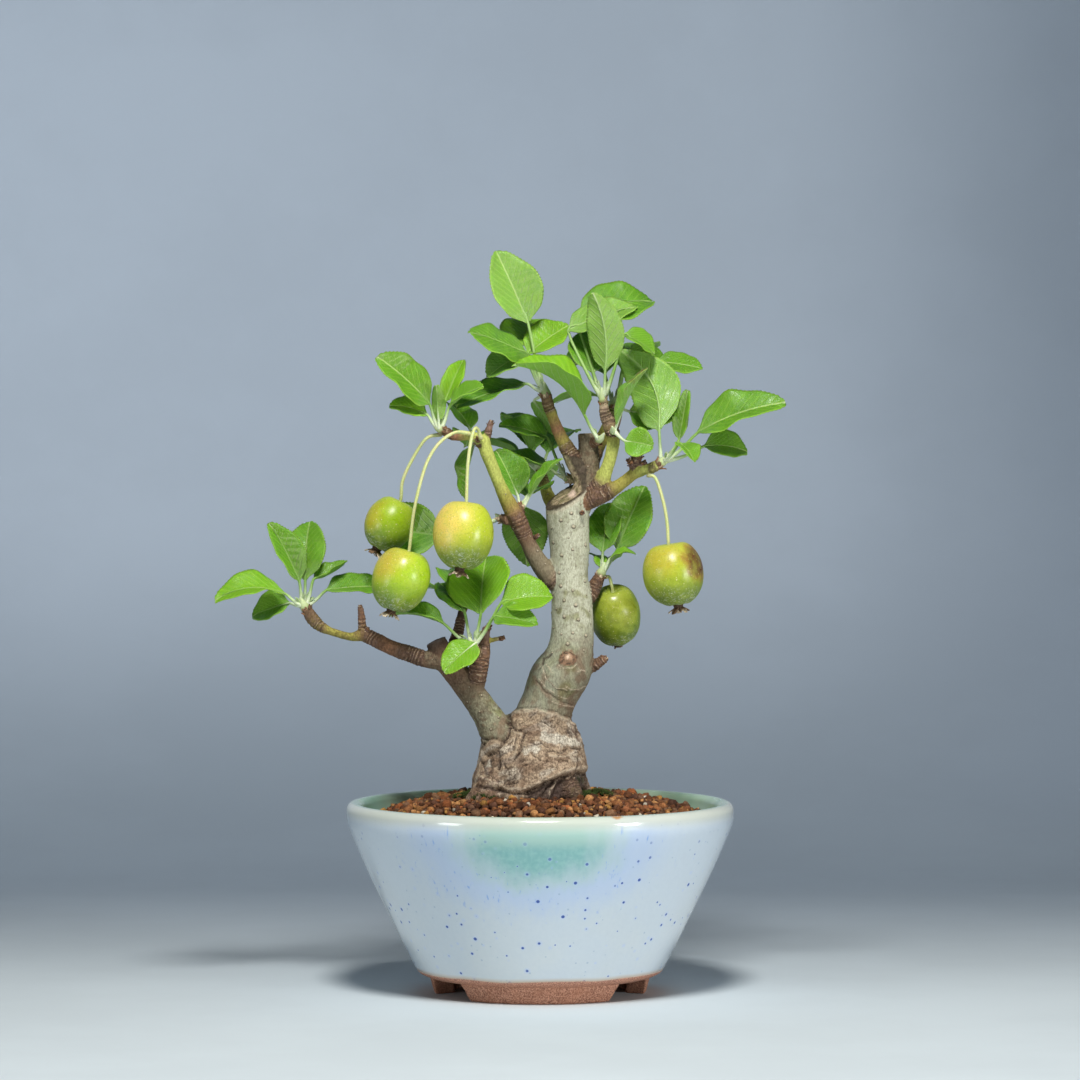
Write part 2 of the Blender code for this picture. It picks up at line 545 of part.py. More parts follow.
def trim_top(mesh):
    """The pruning cut that ended the leader: a slanting plane, with the cut face closed."""
    bm = bmesh.new()
    bm.from_mesh(mesh)
    point, normal = TRUNK_TOP_CUT
    geometry = bm.verts[:] + bm.edges[:] + bm.faces[:]
    place = Vector(point) * MM
    cut = bmesh.ops.bisect_plane(bm, geom=geometry, plane_co=place, plane_no=Vector(normal),
    clear_outer=True)
    edges = [e for e in cut["geom_cut"] if isinstance(e, bmesh.types.BMEdge)]
    bmesh.ops.holes_fill(bm, edges=edges)
    bmesh.ops.recalc_face_normals(bm, faces=bm.faces)
    bm.to_mesh(mesh)
    bm.free()


def stretched(route, extra):
    """The route with both its ends carried on by this much."""
    points = [Vector(p) for p in route]
    first, last = points[0], points[-1]
    before = (first - points[1]).resized(3).normalized() * extra
    after = (last - points[-2]).resized(3).normalized() * extra
    return [tuple(first + before.resized(4)), *route[1:-1], tuple(last + after.resized(4))]


def wood_pieces(grow, names, collection):
    """The trunk and the named limbs as closed meshes, each grown outward by the same amount."""
    trunk = settled(tube("trunk", stretched(TRUNK, grow), collection, TRUNK_SIDES // 2 - 2, grow))
    rough(trunk.data, BARK_RELIEF)
    trim_top(trunk.data)
    pieces = [trunk]
    for name in names:
        route = ROOTS.get(name) or LIMBS[name]
        thick = max(p[3] for p in route) > 2.4
        pieces.append(settled(tube(name, stretched(route, grow), collection, 2 if thick else 1, grow)))
    return pieces


def build_wood(collection):
    """Roots, trunk, branches and spurs: one grown piece, with its pruned top cut at a slant."""
    wood = fuse("tree_wood", wood_pieces(0.0, [*ROOTS, *LIMBS], collection), collection)
    return wood


def soil_height(radius):
    points = SOIL_TOP
    if radius <= points[0][0]:
        return points[0][1]
    for (r0, z0), (r1, z1) in zip(points, points[1:]):
        if radius <= r1:
            return z0 + (z1 - z0) * (radius - r0) / (r1 - r0)
    return points[-1][1]


def build_soil(collection):
    """The root ball's soil, filling the pot clear of its wall, its mound roughened by clay grains."""
    inner = [(r - 2 * GAP, z) for r, z in INNER_WALL[1:]][::-1]
    base = FLOOR_TOP + GAP
    pocket_radius, pocket_depth = SOIL_POCKET
    edge = SOIL_TOP[-1]
    mound = [(r, soil_height(r)) for r in reversed(SOIL_RINGS)]
    profile = [(0.0, SOIL_TOP[0][1]), *mound, edge, (edge[0] + 0.4, edge[1] - 1.6), *inner,
               (INNER_WALL[0][0] - 1.0, base), (pocket_radius, base),
                           (pocket_radius, base + pocket_depth), (0.0, base + pocket_depth)]
    soil = settled(turned("soil_body", profile, SOIL_SEGMENTS, collection))
    soil.name = "soil"
    draw = random.Random(11)
    for v in soil.data.vertices:
        radius = math.hypot(v.co.x, v.co.y) / MM
        if v.co.z / MM > edge[1] + 0.1 and radius > 1.0:
            v.co.z += draw.uniform(-GRAIN_RELIEF, GRAIN_RELIEF) * MM
            v.co.x += draw.uniform(-GRAIN_SHIFT, GRAIN_SHIFT) * MM
            v.co.y += draw.uniform(-GRAIN_SHIFT, GRAIN_SHIFT) * MM
    carve(soil, wood_pieces(GAP + 0.4, ROOTS, collection))
    return soil


def blade_frame(leaf):
    """The blade's own directions: along its midrib, across it and out of its upper face."""
    along = direction(leaf.heading, leaf.rise)
    up = Vector((0, 0, 1))
    normal = (up - along * up.dot(along)).normalized()
    normal = Matrix.Rotation(math.radians(leaf.roll), 3, along) @ normal
    return along, normal.cross(along), normal


def blade_half_width(leaf, u):
    return leaf.width / 2 * math.sin(math.pi * (0.03 + 0.95 * u) ** 0.85) ** 0.75


def blade_point(leaf, base, u, s, tooth):
    """A point of a blade: u runs from its base to its tip, s from -1 to 1 across it."""
    along, side, normal = blade_frame(leaf)
    half = blade_half_width(leaf, u) * tooth
    arch = 4 * u * (1 - u)
    fold = math.radians(leaf.fold)
    midrib = base + along * (leaf.blade * u) + (normal * leaf.droop + side * leaf.sweep) * (leaf.blade * arch)
    return midrib + side * (s * half * math.cos(fold)) + normal * (abs(s) * half * math.sin(fold))


def petiole_point(leaf, start, base, t, s):
    """A point of the flat leaf stalk: t runs from the shoot to the blade, s from -1 to 1 across it."""
    level = direction(leaf.heading + 90, 0)
    side = level.lerp(blade_frame(leaf)[1], t).normalized()
    return start.lerp(base, t) + side * (s * PETIOLE_RADIUS * (1.4 - 0.4 * t))


def leaf_piece(name, leaf, start, collection):
    """A leaf as one closed sheet: a flat stalk that widens into a toothed, folded and arched blade."""
    base = start + direction(leaf.heading + leaf.petiole_turn, leaf.petiole_rise) * leaf.petiole
    blade_stations = SHORT_BLADE[1] if leaf.blade < SHORT_BLADE[0] else BLADE_STATIONS
    stations = PETIOLE_STATIONS + blade_stations
    bm = bmesh.new()
    bmesh.ops.create_grid(bm, x_segments=stations, y_segments=2, size=1.0)
    for v in bm.verts:
        station, s = round((v.co.x + 1) / 2 * stations) - PETIOLE_STATIONS, v.co.y
        if station <= 0:
            place = petiole_point(leaf, start, base, 1 + station / PETIOLE_STATIONS, s)
        else:
            odd = station % 2
            lean = 0.3 / blade_stations if odd and abs(s) > 0.5 else 0.0
            reach = 1 + (TOOTH if odd else -TOOTH) / 2
            place = blade_point(leaf, base, station / blade_stations + lean, s, reach)
        v.co = place * MM
    bmesh.ops.triangulate(bm, faces=bm.faces)
    mesh = bpy.data.meshes.new(name)
    bm.to_mesh(mesh)
    bm.free()
    sheet = add_object(name, mesh, collection)
    thick = sheet.modifiers.new("thick", "SOLIDIFY")
    thick.thickness = BLADE_THICKNESS * MM
    thick.offset = 0.0
    return settled(sheet)


def build_spur(name, collection):
    """The leaves of one spur, joined at the short green shoot that caps its woody tip."""
    limb, leaves = SPURS[name]
    before, end = LIMBS[limb][-2:]
    axis = (Vector(end[:3]) - Vector(before[:3])).normalized()
    low = Vector(end[:3]) + axis * GAP
    swell = low + axis * 1.7
    high = low + axis * 3.4
    route = [(*low, end[3]), (*swell, end[3] + 0.6), (*high, end[3] * 0.8)]
    shoot = settled(tube(name + "_shoot", route, collection, 2))
    pieces = [shoot]
    for i, leaf in enumerate(leaves):
        start = low + axis * 1.5 + direction(leaf.heading + leaf.petiole_turn, 0) * LEAF_START
        pieces.append(leaf_piece(f"{name}_{i}", leaf, start, collection))
    return fuse(name, pieces, collection)


def fruit_profile(fruit):
    """Down the outer side: a shallow cavity for the stalk, full shoulders, a narrower end with its basin."""
    w, h = fruit.width / 2, fruit.height / 2
    return [(0.0, h * 0.80), (w * 0.16, h * 0.86), (w * 0.42, h * 0.985), (w * 0.72, h * 0.82),
            (w * 0.94, h * 0.44),
            (w, h * 0.02), (w * 0.93, h * -0.40), (w * 0.72, h * -0.76), (w * 0.42, h * -0.97),
            (w * 0.22, h * -0.99),
            (0.0, h * -0.92)]


def fruit_axis(fruit):
    """From the fruit's eye up to its stalk."""
    return Vector((fruit.lean[0], fruit.lean[1], 1.0)).normalized()


def build_fruit(name, fruit, collection):
    body = turned(name, fruit_profile(fruit), FRUIT_SEGMENTS, collection)
    body.location = Vector(fruit.centre) * MM
    body.rotation_mode = "QUATERNION"
    body.rotation_quaternion = Vector((0, 0, 1)).rotation_difference(fruit_axis(fruit))
    return body


def build_stalk(name, fruit, collection):
    axis = fruit_axis(fruit)
    foot = Vector(fruit.centre) + axis * (fruit.height / 2 * 0.80 + 2.5 * GAP)
    above = foot + axis * (fruit.height * 0.16)
    route = [*fruit.stalk, tuple(above), tuple(foot)]
    points = [(*p[:3], STALK_RADIUS) for p in eased([(*p, 0.0) for p in route], 2)]
    return tube(name + "_stalk", points, collection, 1)


def build_calyx(name, fruit, collection):
    """The dried flower's remains under the fruit: five curled sepals round a button."""
    axis = fruit_axis(fruit)
    top = Vector(fruit.centre) - axis * (fruit.height / 2 * 0.99 + GAP)
    turn = Vector((0, 0, 1)).rotation_difference(axis).to_matrix()
    button = settled(tube(name + "_button", [(*top, 1.7), (*(top - axis * 1.6), 1.3)], collection, 1))
    pieces = [button]
    for i in range(5):
        angle = math.tau * i / 5 + 0.4
        out = turn @ Vector((math.cos(angle), math.sin(angle), 0.0))
        root = top - axis * 0.8 + out * 0.6
        tip = top - axis * 3.2 + out * 3.2
        pieces.append(settled(tube(f"{name}_sepal_{i}", [(*root, 0.8), (*tip, 0.4)], collection, 0)))
    return fuse(name + "_calyx", pieces, collection)


def main():
    clear_scene()
    bonsai = new_collection("crabapple_bonsai")
    stand = add_object("bonsai_place", None, bonsai)
    stand.location = (POT_AXIS[0] * MM, POT_AXIS[1] * MM, 0.0)
    paint = {name: new_material(name) for name in COLOURS}

    pot = settled(build_pot(bonsai))
    pot.name = "pot"
    carve(pot, build_notches())
    made = [finish(pot, paint["glaze"], smooth=True)]
    made.append(finish(build_drain_net(bonsai), paint["plastic_net"]))
    made.append(finish(build_clip(bonsai), paint["wire"]))
    made.append(finish(build_soil(bonsai), paint["soil"]))
    made.append(finish(build_wood(bonsai), paint["bark"], smooth=True))
    for name in SPURS:
        made.append(finish(build_spur(name, bonsai), paint["leaf"], smooth=True))
    for name, fruit in FRUITS.items():
        made.append(finish(build_fruit(name, fruit, bonsai), paint["fruit_skin"], smooth=True))
        made.append(finish(build_stalk(name, fruit, bonsai), paint["fruit_stalk"]))
        made.append(finish(build_calyx(name, fruit, bonsai), paint["calyx"]))
    for obj in made:
        obj.parent = stand


main()
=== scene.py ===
# %% [markdown]
# # A fruiting crabapple bonsai in its glazed pot
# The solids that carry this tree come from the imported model, and this script dresses them. Each
# visible solid is replaced by a finer piece of the same form in the same place: a turned and
# glazed pot, loose clay grains, living bark, thin veined leaves and ripening fruit.
#
# Places below are in millimetres from the pot's axis, with +Y away from the viewer, because a
# tree is easier to think of in millimetres. One helper carries every finished piece to metres.

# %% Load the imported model
import math
import random
from collections import namedtuple

import bmesh
import bpy
import numpy as np
from mathutils import Matrix, Vector
from mathutils.noise import noise, noise_vector


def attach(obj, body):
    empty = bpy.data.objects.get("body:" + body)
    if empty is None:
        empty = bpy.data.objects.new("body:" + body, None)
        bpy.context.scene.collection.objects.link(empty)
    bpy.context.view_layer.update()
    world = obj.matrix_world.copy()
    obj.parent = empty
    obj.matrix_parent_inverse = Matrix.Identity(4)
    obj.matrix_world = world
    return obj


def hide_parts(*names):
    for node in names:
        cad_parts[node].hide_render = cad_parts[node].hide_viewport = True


MM = 0.001
POT_AXIS = Vector((0.0132, 0, 0))

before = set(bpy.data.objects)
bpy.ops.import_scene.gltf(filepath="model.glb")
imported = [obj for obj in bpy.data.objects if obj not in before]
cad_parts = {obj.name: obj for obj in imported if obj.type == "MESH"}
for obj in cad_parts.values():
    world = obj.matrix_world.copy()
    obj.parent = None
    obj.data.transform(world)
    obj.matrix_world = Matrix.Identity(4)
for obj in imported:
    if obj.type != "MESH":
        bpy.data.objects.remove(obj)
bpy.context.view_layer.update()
print("the packed model has", len(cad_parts), "nodes")

# %% [markdown]
# ## Finishing a piece
# A bmesh is shaped in millimetres. When it is done it becomes a mesh object at the origin with its
# place in its points, so a pattern that reads Object coordinates sits still on it. The piece then
# says what it rides on, which solid it stands for and which finishes it takes.


# %% Turn a bmesh into a piece of the tree
def keep_piece(name, bm, finishes, stands_for=(), smooth=True):
    """Makes a scene object from a bmesh that is in millimetres from the pot's axis."""
    bmesh.ops.scale(bm, verts=bm.verts, vec=(MM, MM, MM))
    bmesh.ops.translate(bm, verts=bm.verts, vec=POT_AXIS)
    mesh = bpy.data.meshes.new(name)
    bm.to_mesh(mesh)
    bm.free()
    if smooth:
        mesh.shade_smooth()
    for finish in finishes:
        mesh.materials.append(finish)
    piece = bpy.data.objects.new(name, mesh)
    bpy.context.scene.collection.objects.link(piece)
    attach(piece, "root")
    if stands_for:
        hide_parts(*stands_for)
    triangles = sum(len(face.vertices) - 2 for face in mesh.polygons)
    print(f"{name}: {triangles} triangles")
    return piece


def tinted_bmesh():
    """An empty bmesh whose points hold a tint, and the layer that holds it."""
    bm = bmesh.new()
    return bm, bm.verts.layers.float_color.new("tint")


# %% [markdown]
# ## Describing a finish
# A material is a small graph of nodes ending in one Principled shader. These helpers add a node
# with its settings and links in one call, so that each finish below reads as a list of what it is
# made of. A socket given as an input is linked, and a plain value is set on the node itself.


# %% Helpers for node materials
class Wire:
    """What comes out of a node. Sums can use it as a number: each step of a sum adds a Math node."""

    def __init__(self, socket):
        self.socket = socket
        self.tree = socket.id_data

    def step(self, operation, *others):
        return add(self.tree, "Math", dict(enumerate((self, *others))), operation=operation)[0]

    def __add__(self, other):
        return self.step("ADD", other)

    def __sub__(self, other):
        return self.step("SUBTRACT", other)

    def __mul__(self, other):
        return self.step("MULTIPLY", other)

    def __truediv__(self, other):
        return self.step("DIVIDE", other)

    def __pow__(self, other):
        return self.step("POWER", other)

    def __abs__(self):
        return self.step("ABSOLUTE")


class Outputs:
    """A node's outputs, by name or by number."""

    def __init__(self, node):
        self.node = node

    def __getitem__(self, key):
        return Wire(self.node.outputs[key])


def add(tree, kind, inputs=None, **settings):
    """Adds a shader node, sets it up and returns its outputs."""
    made = tree.nodes.new("ShaderNode" + kind)
    for key, value in settings.items():
        setattr(made, key, value)
    for key, value in (inputs or {}).items():
        if isinstance(value, Wire):
            tree.links.new(value.socket, made.inputs[key])
        else:
            made.inputs[key].default_value = value
    return Outputs(made)


def start_finish(name, roughness, **sockets):
    """A new material, its node tree and its Principled shader with some sockets already set."""
    finish = bpy.data.materials.new(name)
    finish.use_nodes = True
    tree = finish.node_tree
    shader = tree.nodes["Principled BSDF"]
    shader.inputs["Roughness"].default_value = roughness
    for key, value in sockets.items():
        shader.inputs[key.replace("_", " ")].default_value = value
    return finish, tree, shader


def lead(value, shader, name="Base Color"):
    """Leads a wire into one of the shader's sockets."""
    value.tree.links.new(value.socket, shader.inputs[name])


def tree_of(*parts):
    """The node tree that the wires among these parts belong to."""
    return next(part.tree for part in parts if isinstance(part, Wire))


def blend(factor, below, above, mode="MIX"):
    """Mixes two colours by a factor. Each is a wire or three numbers."""
    solid = [part if isinstance(part, Wire) else (*part, 1) for part in (below, above)]
    inputs = {0: factor, 6: solid[0], 7: solid[1]}
    return add(tree_of(factor, below, above), "Mix", inputs, data_type="RGBA", blend_type=mode)[2]


def ramp(value, low, high, start=0, end=1):
    """Takes a value from one range to another along a smooth step, and returns it."""
    inputs = {"Value": value, "From Min": low, "From Max": high, "To Min": start, "To Max": end}
    return add(value.tree, "MapRange", inputs, interpolation_type="SMOOTHSTEP")["Result"]


def stretched(place, factors):
    """Coordinates with each axis multiplied by its own factor."""
    return add(place.tree, "VectorMath", {0: place, 1: factors}, operation="MULTIPLY")[0]


def length_of(place):
    return add(place.tree, "VectorMath", {0: place}, operation="LENGTH")["Value"]


def pot_space(tree):
    """Object coordinates turned to millimetres from the pot's axis."""
    place = add(tree, "TexCoord")["Object"]
    moved = add(tree, "VectorMath", {0: place, 1: tuple(-POT_AXIS)}, operation="ADD")[0]
    return stretched(moved, (1 / MM, 1 / MM, 1 / MM))


def painted(tree, name):
    """What an attribute of the piece's points holds."""
    return add(tree, "Attribute", attribute_name=name)


def mottle(place, scale, detail=3, roughness=0.55, distortion=0):
    """Soft noise between 0 and 1, with its scale in cycles per millimetre."""
    inputs = {"Vector": place, "Scale": scale, "Detail": detail, "Roughness": roughness,
              "Distortion": distortion}
    return add(place.tree, "TexNoise", inputs)["Fac"]


def relief(shader, height, distance):
    """Gives the shader a bump whose height of 1 is this many millimetres."""
    inputs = {"Height": height, "Distance": distance * MM, "Strength": 1}
    lead(add(height.tree, "Bump", inputs)["Normal"], shader, "Normal")


# %% [markdown]
# ## The camera and the studio
# The photograph was taken from 1.6 m in front, level with the upper half of the tree, with a long
# lens. The stage is a pale sheet that lies flat under the pot and curves up behind it. Light and
# shade are painted into its colour: it is paler towards the viewer, darker in the bend and to the
# right of the wall, and paler up the wall, as the fall-off of one big soft light.

# %% Camera
CAMERA_DISTANCE = 1.617
CAMERA_HEIGHT = 0.197
CAMERA_TILT = math.radians(1.627)
CAMERA_LENS = 161.7

eye = bpy.data.cameras.new("camera")
eye.lens = CAMERA_LENS
eye.sensor_width = 36
camera = bpy.data.objects.new("camera", eye)
camera.location = (POT_AXIS.x, -CAMERA_DISTANCE, CAMERA_HEIGHT)
camera.rotation_euler = (math.radians(90) - CAMERA_TILT, 0, 0)
bpy.context.scene.collection.objects.link(camera)
bpy.context.scene.camera = camera
bpy.context.scene.view_settings.view_transform = "Standard"
print("camera", round(CAMERA_DISTANCE, 3), "m in front of the pot's axis")

# %% Pale sheet for a stage
SHEET_NEAR = -2.6
SHEET_BEND = 0.34
SHEET_CURVE = 0.5
SHEET_TOP = 3
SHEET_WIDTH = 7


def build_sheet():
    """Draws the sheet's side view by extruding a point, then draws it out sideways."""
    bm = bmesh.new()
    point = bm.verts.new((-SHEET_WIDTH / 2, SHEET_NEAR, 0))
    corner = bm.verts.new((-SHEET_WIDTH / 2, SHEET_BEND, 0))
    bm.edges.new((point, corner))
    axis_point = (0, SHEET_BEND, SHEET_CURVE)
    bmesh.ops.spin(bm, geom=[corner], cent=axis_point, axis=(1, 0, 0), angle=math.radians(90), steps=24)
    last = max(bm.verts, key=lambda v: (v.co.y, v.co.z))
    grown = bmesh.ops.extrude_vert_indiv(bm, verts=[last])
    bmesh.ops.translate(bm, verts=grown["verts"], vec=(0, 0, SHEET_TOP - SHEET_CURVE))
    sideways = bmesh.ops.extrude_edge_only(bm, edges=bm.edges[:])
    moved = [v for v in sideways["geom"] if isinstance(v, bmesh.types.BMVert)]
    bmesh.ops.translate(bm, verts=moved, vec=(SHEET_WIDTH, 0, 0))
    bmesh.ops.recalc_face_normals(bm, faces=bm.faces)
    mesh = bpy.data.meshes.new("stage_sheet")
    bm.to_mesh(mesh)
    bm.free()
    mesh.shade_smooth()
    sheet = bpy.data.objects.new("stage_sheet", mesh)
    bpy.context.scene.collection.objects.link(sheet)
    return sheet


sheet = build_sheet()
paper, tree, shader = start_finish("studio_paper", 0.9, Specular_IOR_Level=0.1)
place = add(tree, "TexCoord")["Object"]
axes = add(tree, "SeparateXYZ", {0: place})
# Painted shade: the floor darkens away from the viewer, and the wall pales upwards and darkens to the
# right.
depth = ramp(axes["Y"], -0.05, 0.4)
ground = blend(depth, (0.63, 0.7, 0.735), (0.3, 0.36, 0.425))
rise = ramp(axes["Z"], 0, 0.15)
wall = blend(rise, (0.3, 0.36, 0.425), (0.47, 0.55, 0.645))
sideways = ramp(axes["X"], 0.1, 0.32)
wall = blend(sideways, wall, (0.285, 0.345, 0.42))
behind = ramp(axes["Z"], 0, 0.03)
weave = mottle(place, 9, 5, 0.6)
shade = blend(ramp(weave, 0.35, 0.65), (0.975, 0.975, 0.975), (1.02, 1.02, 1.02))
colour = blend(1, blend(behind, ground, wall), shade, "MULTIPLY")
lead(colour, shader)
sheet.data.materials.append(paper)
print("stage sheet", len(sheet.data.polygons), "faces")


# %% [markdown]
# ## Light
# The shadows in the photograph tell where the light is. The rim's shadow is a little wider than the
# rim and reaches from just in front of the feet to well behind them, so one small soft lamp hangs
# about 0.7 m up and somewhat in front. A low card on the right brightens that side of the glaze
# without lighting the floor, a weaker one stands on the left, and a lamp behind lights the wall.


# %% Soft lights
def soft_light(name, place, aim, size, power, colour, spread=math.pi):
    lamp = bpy.data.lights.new(name, "AREA")
    lamp.shape = "DISK"
    lamp.size = size
    lamp.energy = power
    lamp.color = colour
    lamp.spread = spread
    made = bpy.data.objects.new(name, lamp)
    made.location = place
    made.rotation_euler = (Vector(aim) - Vector(place)).to_track_quat("-Z", "Y").to_euler()
    bpy.context.scene.collection.objects.link(made)
    return made


soft_light("key_light", (0.02, -0.45, 0.7), (0, 0, 0.1), 0.17, 5.7, (1, 0.985, 0.95))
soft_light("right_card", (0.85, -0.65, 0.12), (0, 0, 0.08), 0.3, 5.4, (1, 0.99, 0.98))
soft_light("left_card", (-0.85, -0.65, 0.12), (0, 0, 0.08), 0.3, 2, (0.97, 0.99, 1))
soft_light("wall_light", (-0.75, 0.2, 0.8), (-0.14, 0.84, 0.2), 0.3, 0.6, (0.97, 0.98, 1), 1.5)
sky = bpy.data.worlds.new("studio_sky")
sky.use_nodes = True
sky.node_tree.nodes["Background"].inputs["Color"].default_value = (0.88, 0.94, 1, 1)
sky.node_tree.nodes["Background"].inputs["Strength"].default_value = 0.1
bpy.context.scene.world = sky
print("four soft lights and a cool sky")

# %% [markdown]
# ## The pot
# The bowl was thrown on a wheel, so its side view is drawn once and spun. The wall runs from the
# rolled lip down to a small turned foot ring, which the potter cut into three feet.

# %% The bowl's side view
LIP_RADIUS = 2.6
LIP_CENTRE = (62.1, 61.1)
OUTER_WALL = [(64.3, 56.6), (61, 48.4), (55.8, 37), (49.6, 24.4), (43.6, 12.2), (41, 7.6), (38.8, 6.2)]
FOOT_OUTER = (37.2, 35.3)
FOOT_INNER = (29.5, 28.5)
FOOT_HEIGHT = 6.2
RECESS_TOP = 5.6
DRAIN_RADIUS = 6
FLOOR_TOP = 11
INNER_WALL = [(35, 11), (38.2, 14), (48.6, 34.7), (57.2, 53.4)]
POT_STEPS = 144


def eased(route, steps):
    """More points on a smooth curve through the route's own, by Catmull and Rom's rule."""
    points = [Vector(p) for p in route]
    ends = [2 * points[0] - points[1], *points, 2 * points[-1] - points[-2]]
    made = []
    for a, b, c, d in zip(ends, ends[1:], ends[2:], ends[3:]):
        for i in range(steps):
            t = i / steps
            bend = (2 * a - 5 * b + 4 * c - d) * t * t + (3 * b - a - 3 * c + d) * t ** 3
            made.append(0.5 * (2 * b + (c - a) * t + bend))
    return made + [points[-1]]


def arc(centre, radius, start, end, steps):
    """Points on part of a circle, with its angles in degrees."""
    turns = [math.radians(start + (end - start) * i / steps) for i in range(steps + 1)]
    return [(centre[0] + radius * math.cos(a), centre[1] + radius * math.sin(a)) for a in turns]


def bowl_profile():
    """Once round the wall's section: lip, outer wall, underside, drain hole, floor and inner wall."""
    lip = arc(LIP_CENTRE, LIP_RADIUS, 180, 0, 14)
    outer = [tuple(p)[:2] for p in eased([(*p, 0) for p in [lip[-1], *OUTER_WALL]], 5)][1:]
    under = [(37.6, 5.75), (30, RECESS_TOP), (18, RECESS_TOP), (DRAIN_RADIUS + 0.6, RECESS_TOP)]
    drain = [(DRAIN_RADIUS, RECESS_TOP + 0.6), (DRAIN_RADIUS, FLOOR_TOP - 0.6),
             (DRAIN_RADIUS + 0.6, FLOOR_TOP)]
    inner = [tuple(p)[:2] for p in eased([(*p, 0) for p in [*INNER_WALL[1:], lip[0]]], 5)][:-1]
    return [*lip, *outer, *under, *drain, (22, FLOOR_TOP), INNER_WALL[0], *inner]


def spun(bm, profile, steps, angle=360):
    """Spins a chain of (radius, height) points about the pot's axis."""
    points = [bm.verts.new((r, 0, z)) for r, z in profile]
    edges = [bm.edges.new(pair) for pair in zip(points, points[1:] + points[:1])]
    whole = angle == 360
    bmesh.ops.spin(bm, geom=points + edges, cent=(0, 0, 0), axis=(0, 0, 1), angle=math.radians(angle),
                   steps=steps, use_merge=whole)
    bmesh.ops.remove_doubles(bm, verts=bm.verts, dist=0.001)
    bmesh.ops.recalc_face_normals(bm, faces=bm.faces)


# %% [markdown]
# ## The three feet
# A foot is bare, gritty clay with its edges worn round. The ring is spun, its three gaps are cut by
# wedges, and a voxel remesh with a little smoothing rounds every edge at once, which is what a damp
# sponge does to raw clay. A small push along the normals leaves the surface uneven.

# %% Cut and round the feet
NOTCH_HALF_WIDTH = (8.8, 11.8)
NOTCH_REACH = (26, 48)
FOOT_VOXEL = 0.42


def foot_ring():
    """The foot ring before it is cut, reaching a little way up into the bowl."""
    bm = bmesh.new()
    top = FOOT_HEIGHT + 0.5
    spun(bm, [(FOOT_OUTER[0], top), (FOOT_OUTER[1], 0), (FOOT_INNER[1], 0), (FOOT_INNER[0], top)],
         POT_STEPS)
    return bm


def notch(turn):
    """A wedge, wider at the table, that opens the foot ring at this angle."""
    bm = bmesh.new()
    narrow, wide = NOTCH_HALF_WIDTH
    inner, outer = NOTCH_REACH
    bmesh.ops.create_cube(bm, size=1)
    for v in bm.verts:
        half = narrow if v.co.z > 0 else wide
        v.co = ((inner + outer) / 2 + v.co.x * (outer - inner), 2 * half * v.co.y,
                FOOT_HEIGHT + 0.6 if v.co.z > 0 else 0)
    low = [v for v in bm.verts if v.co.z == 0]
    bmesh.ops.translate(bm, verts=low, vec=(0, 0, -0.5))
    bmesh.ops.rotate(bm, verts=bm.verts, cent=(0, 0, 0),
                     matrix=Matrix.Rotation(math.radians(turn), 3, "Z"))
    return bm


def loose_object(name, bm):
    """A plain object for a modifier to work on. It is removed once its result is read."""
    mesh = bpy.data.meshes.new(name)
    bm.to_mesh(mesh)
    bm.free()
    made = bpy.data.objects.new(name, mesh)
    bpy.context.scene.collection.objects.link(made)
    return made


def worked(obj, extra=()):
    """Reads an object's mesh with its modifiers applied into a new bmesh, and removes the object."""
    graph = bpy.context.evaluated_depsgraph_get()
    mesh = bpy.data.meshes.new_from_object(obj.evaluated_get(graph))
    bm = bmesh.new()
    bm.from_mesh(mesh)
    bpy.data.meshes.remove(mesh)
    for old in (obj, *extra):
        bpy.data.objects.remove(old)
    return bm


def voxel_skin(obj, voxel, extra=()):
    """One closed skin of even small faces over everything in the object."""
    remesh = obj.modifiers.new("skin", "REMESH")
    remesh.mode = "VOXEL"
    remesh.voxel_size = voxel
    return worked(obj, extra)


def build_feet():
    ring = loose_object("foot_ring", foot_ring())
    wedges = [loose_object(f"notch_{i}", notch(-90 + 60 + 120 * i)) for i in range(3)]
    for wedge in wedges:
        cut = ring.modifiers.new("cut", "BOOLEAN")
        cut.object = wedge
        cut.operation = "DIFFERENCE"
        cut.solver = "MANIFOLD"
    bm = voxel_skin(ring, FOOT_VOXEL, wedges)
    for _ in range(4):
        bmesh.ops.smooth_vert(bm, verts=bm.verts, factor=0.5, use_axis_x=True, use_axis_y=True,
                              use_axis_z=True)
    bm.normal_update()
    for v in bm.verts:
        grit = noise(v.co / 0.9) * 0.1 + noise(v.co / 3.5) * 0.12
        v.co += v.normal * grit
        v.co.z = max(v.co.z, 0)
    return bm


# %% [markdown]
# ## Glaze
# Under the clear gloss the glaze is milky, pale blue where it ran thick and cream where it is thin
# over the lip. Green celadon lines the inside and ran over the front in one wide tongue, with a
# violet-blue fringe and fine streaks below it. Cobalt left blue specks, and one rust spot sits
# on the lip. All of it is drawn in millimetres round the pot, so it keeps its place in any view.

# %% Glaze finish
RUN_CENTRE = (-1, 57)
RUN_REACH = (32, 19)
RUST_SPOT = (24.6, -57.6, 63.4)


def speckle(place, spacing, radius):
    """Specks scattered through space, so the wall cuts each at its own size, and their halos."""
    scattered = add(place.tree, "TexVoronoi", {"Vector": place, "Scale": 1 / spacing, "Randomness": 1})
    pick = add(place.tree, "SeparateColor", {0: scattered["Color"]})[0]
    reach = pick * (radius / spacing * 0.9) + radius / spacing * 0.25
    away = scattered["Distance"] / reach
    return ramp(away, 0.75, 1.15, 1, 0), ramp(away, 0.8, 2.2, 1, 0)


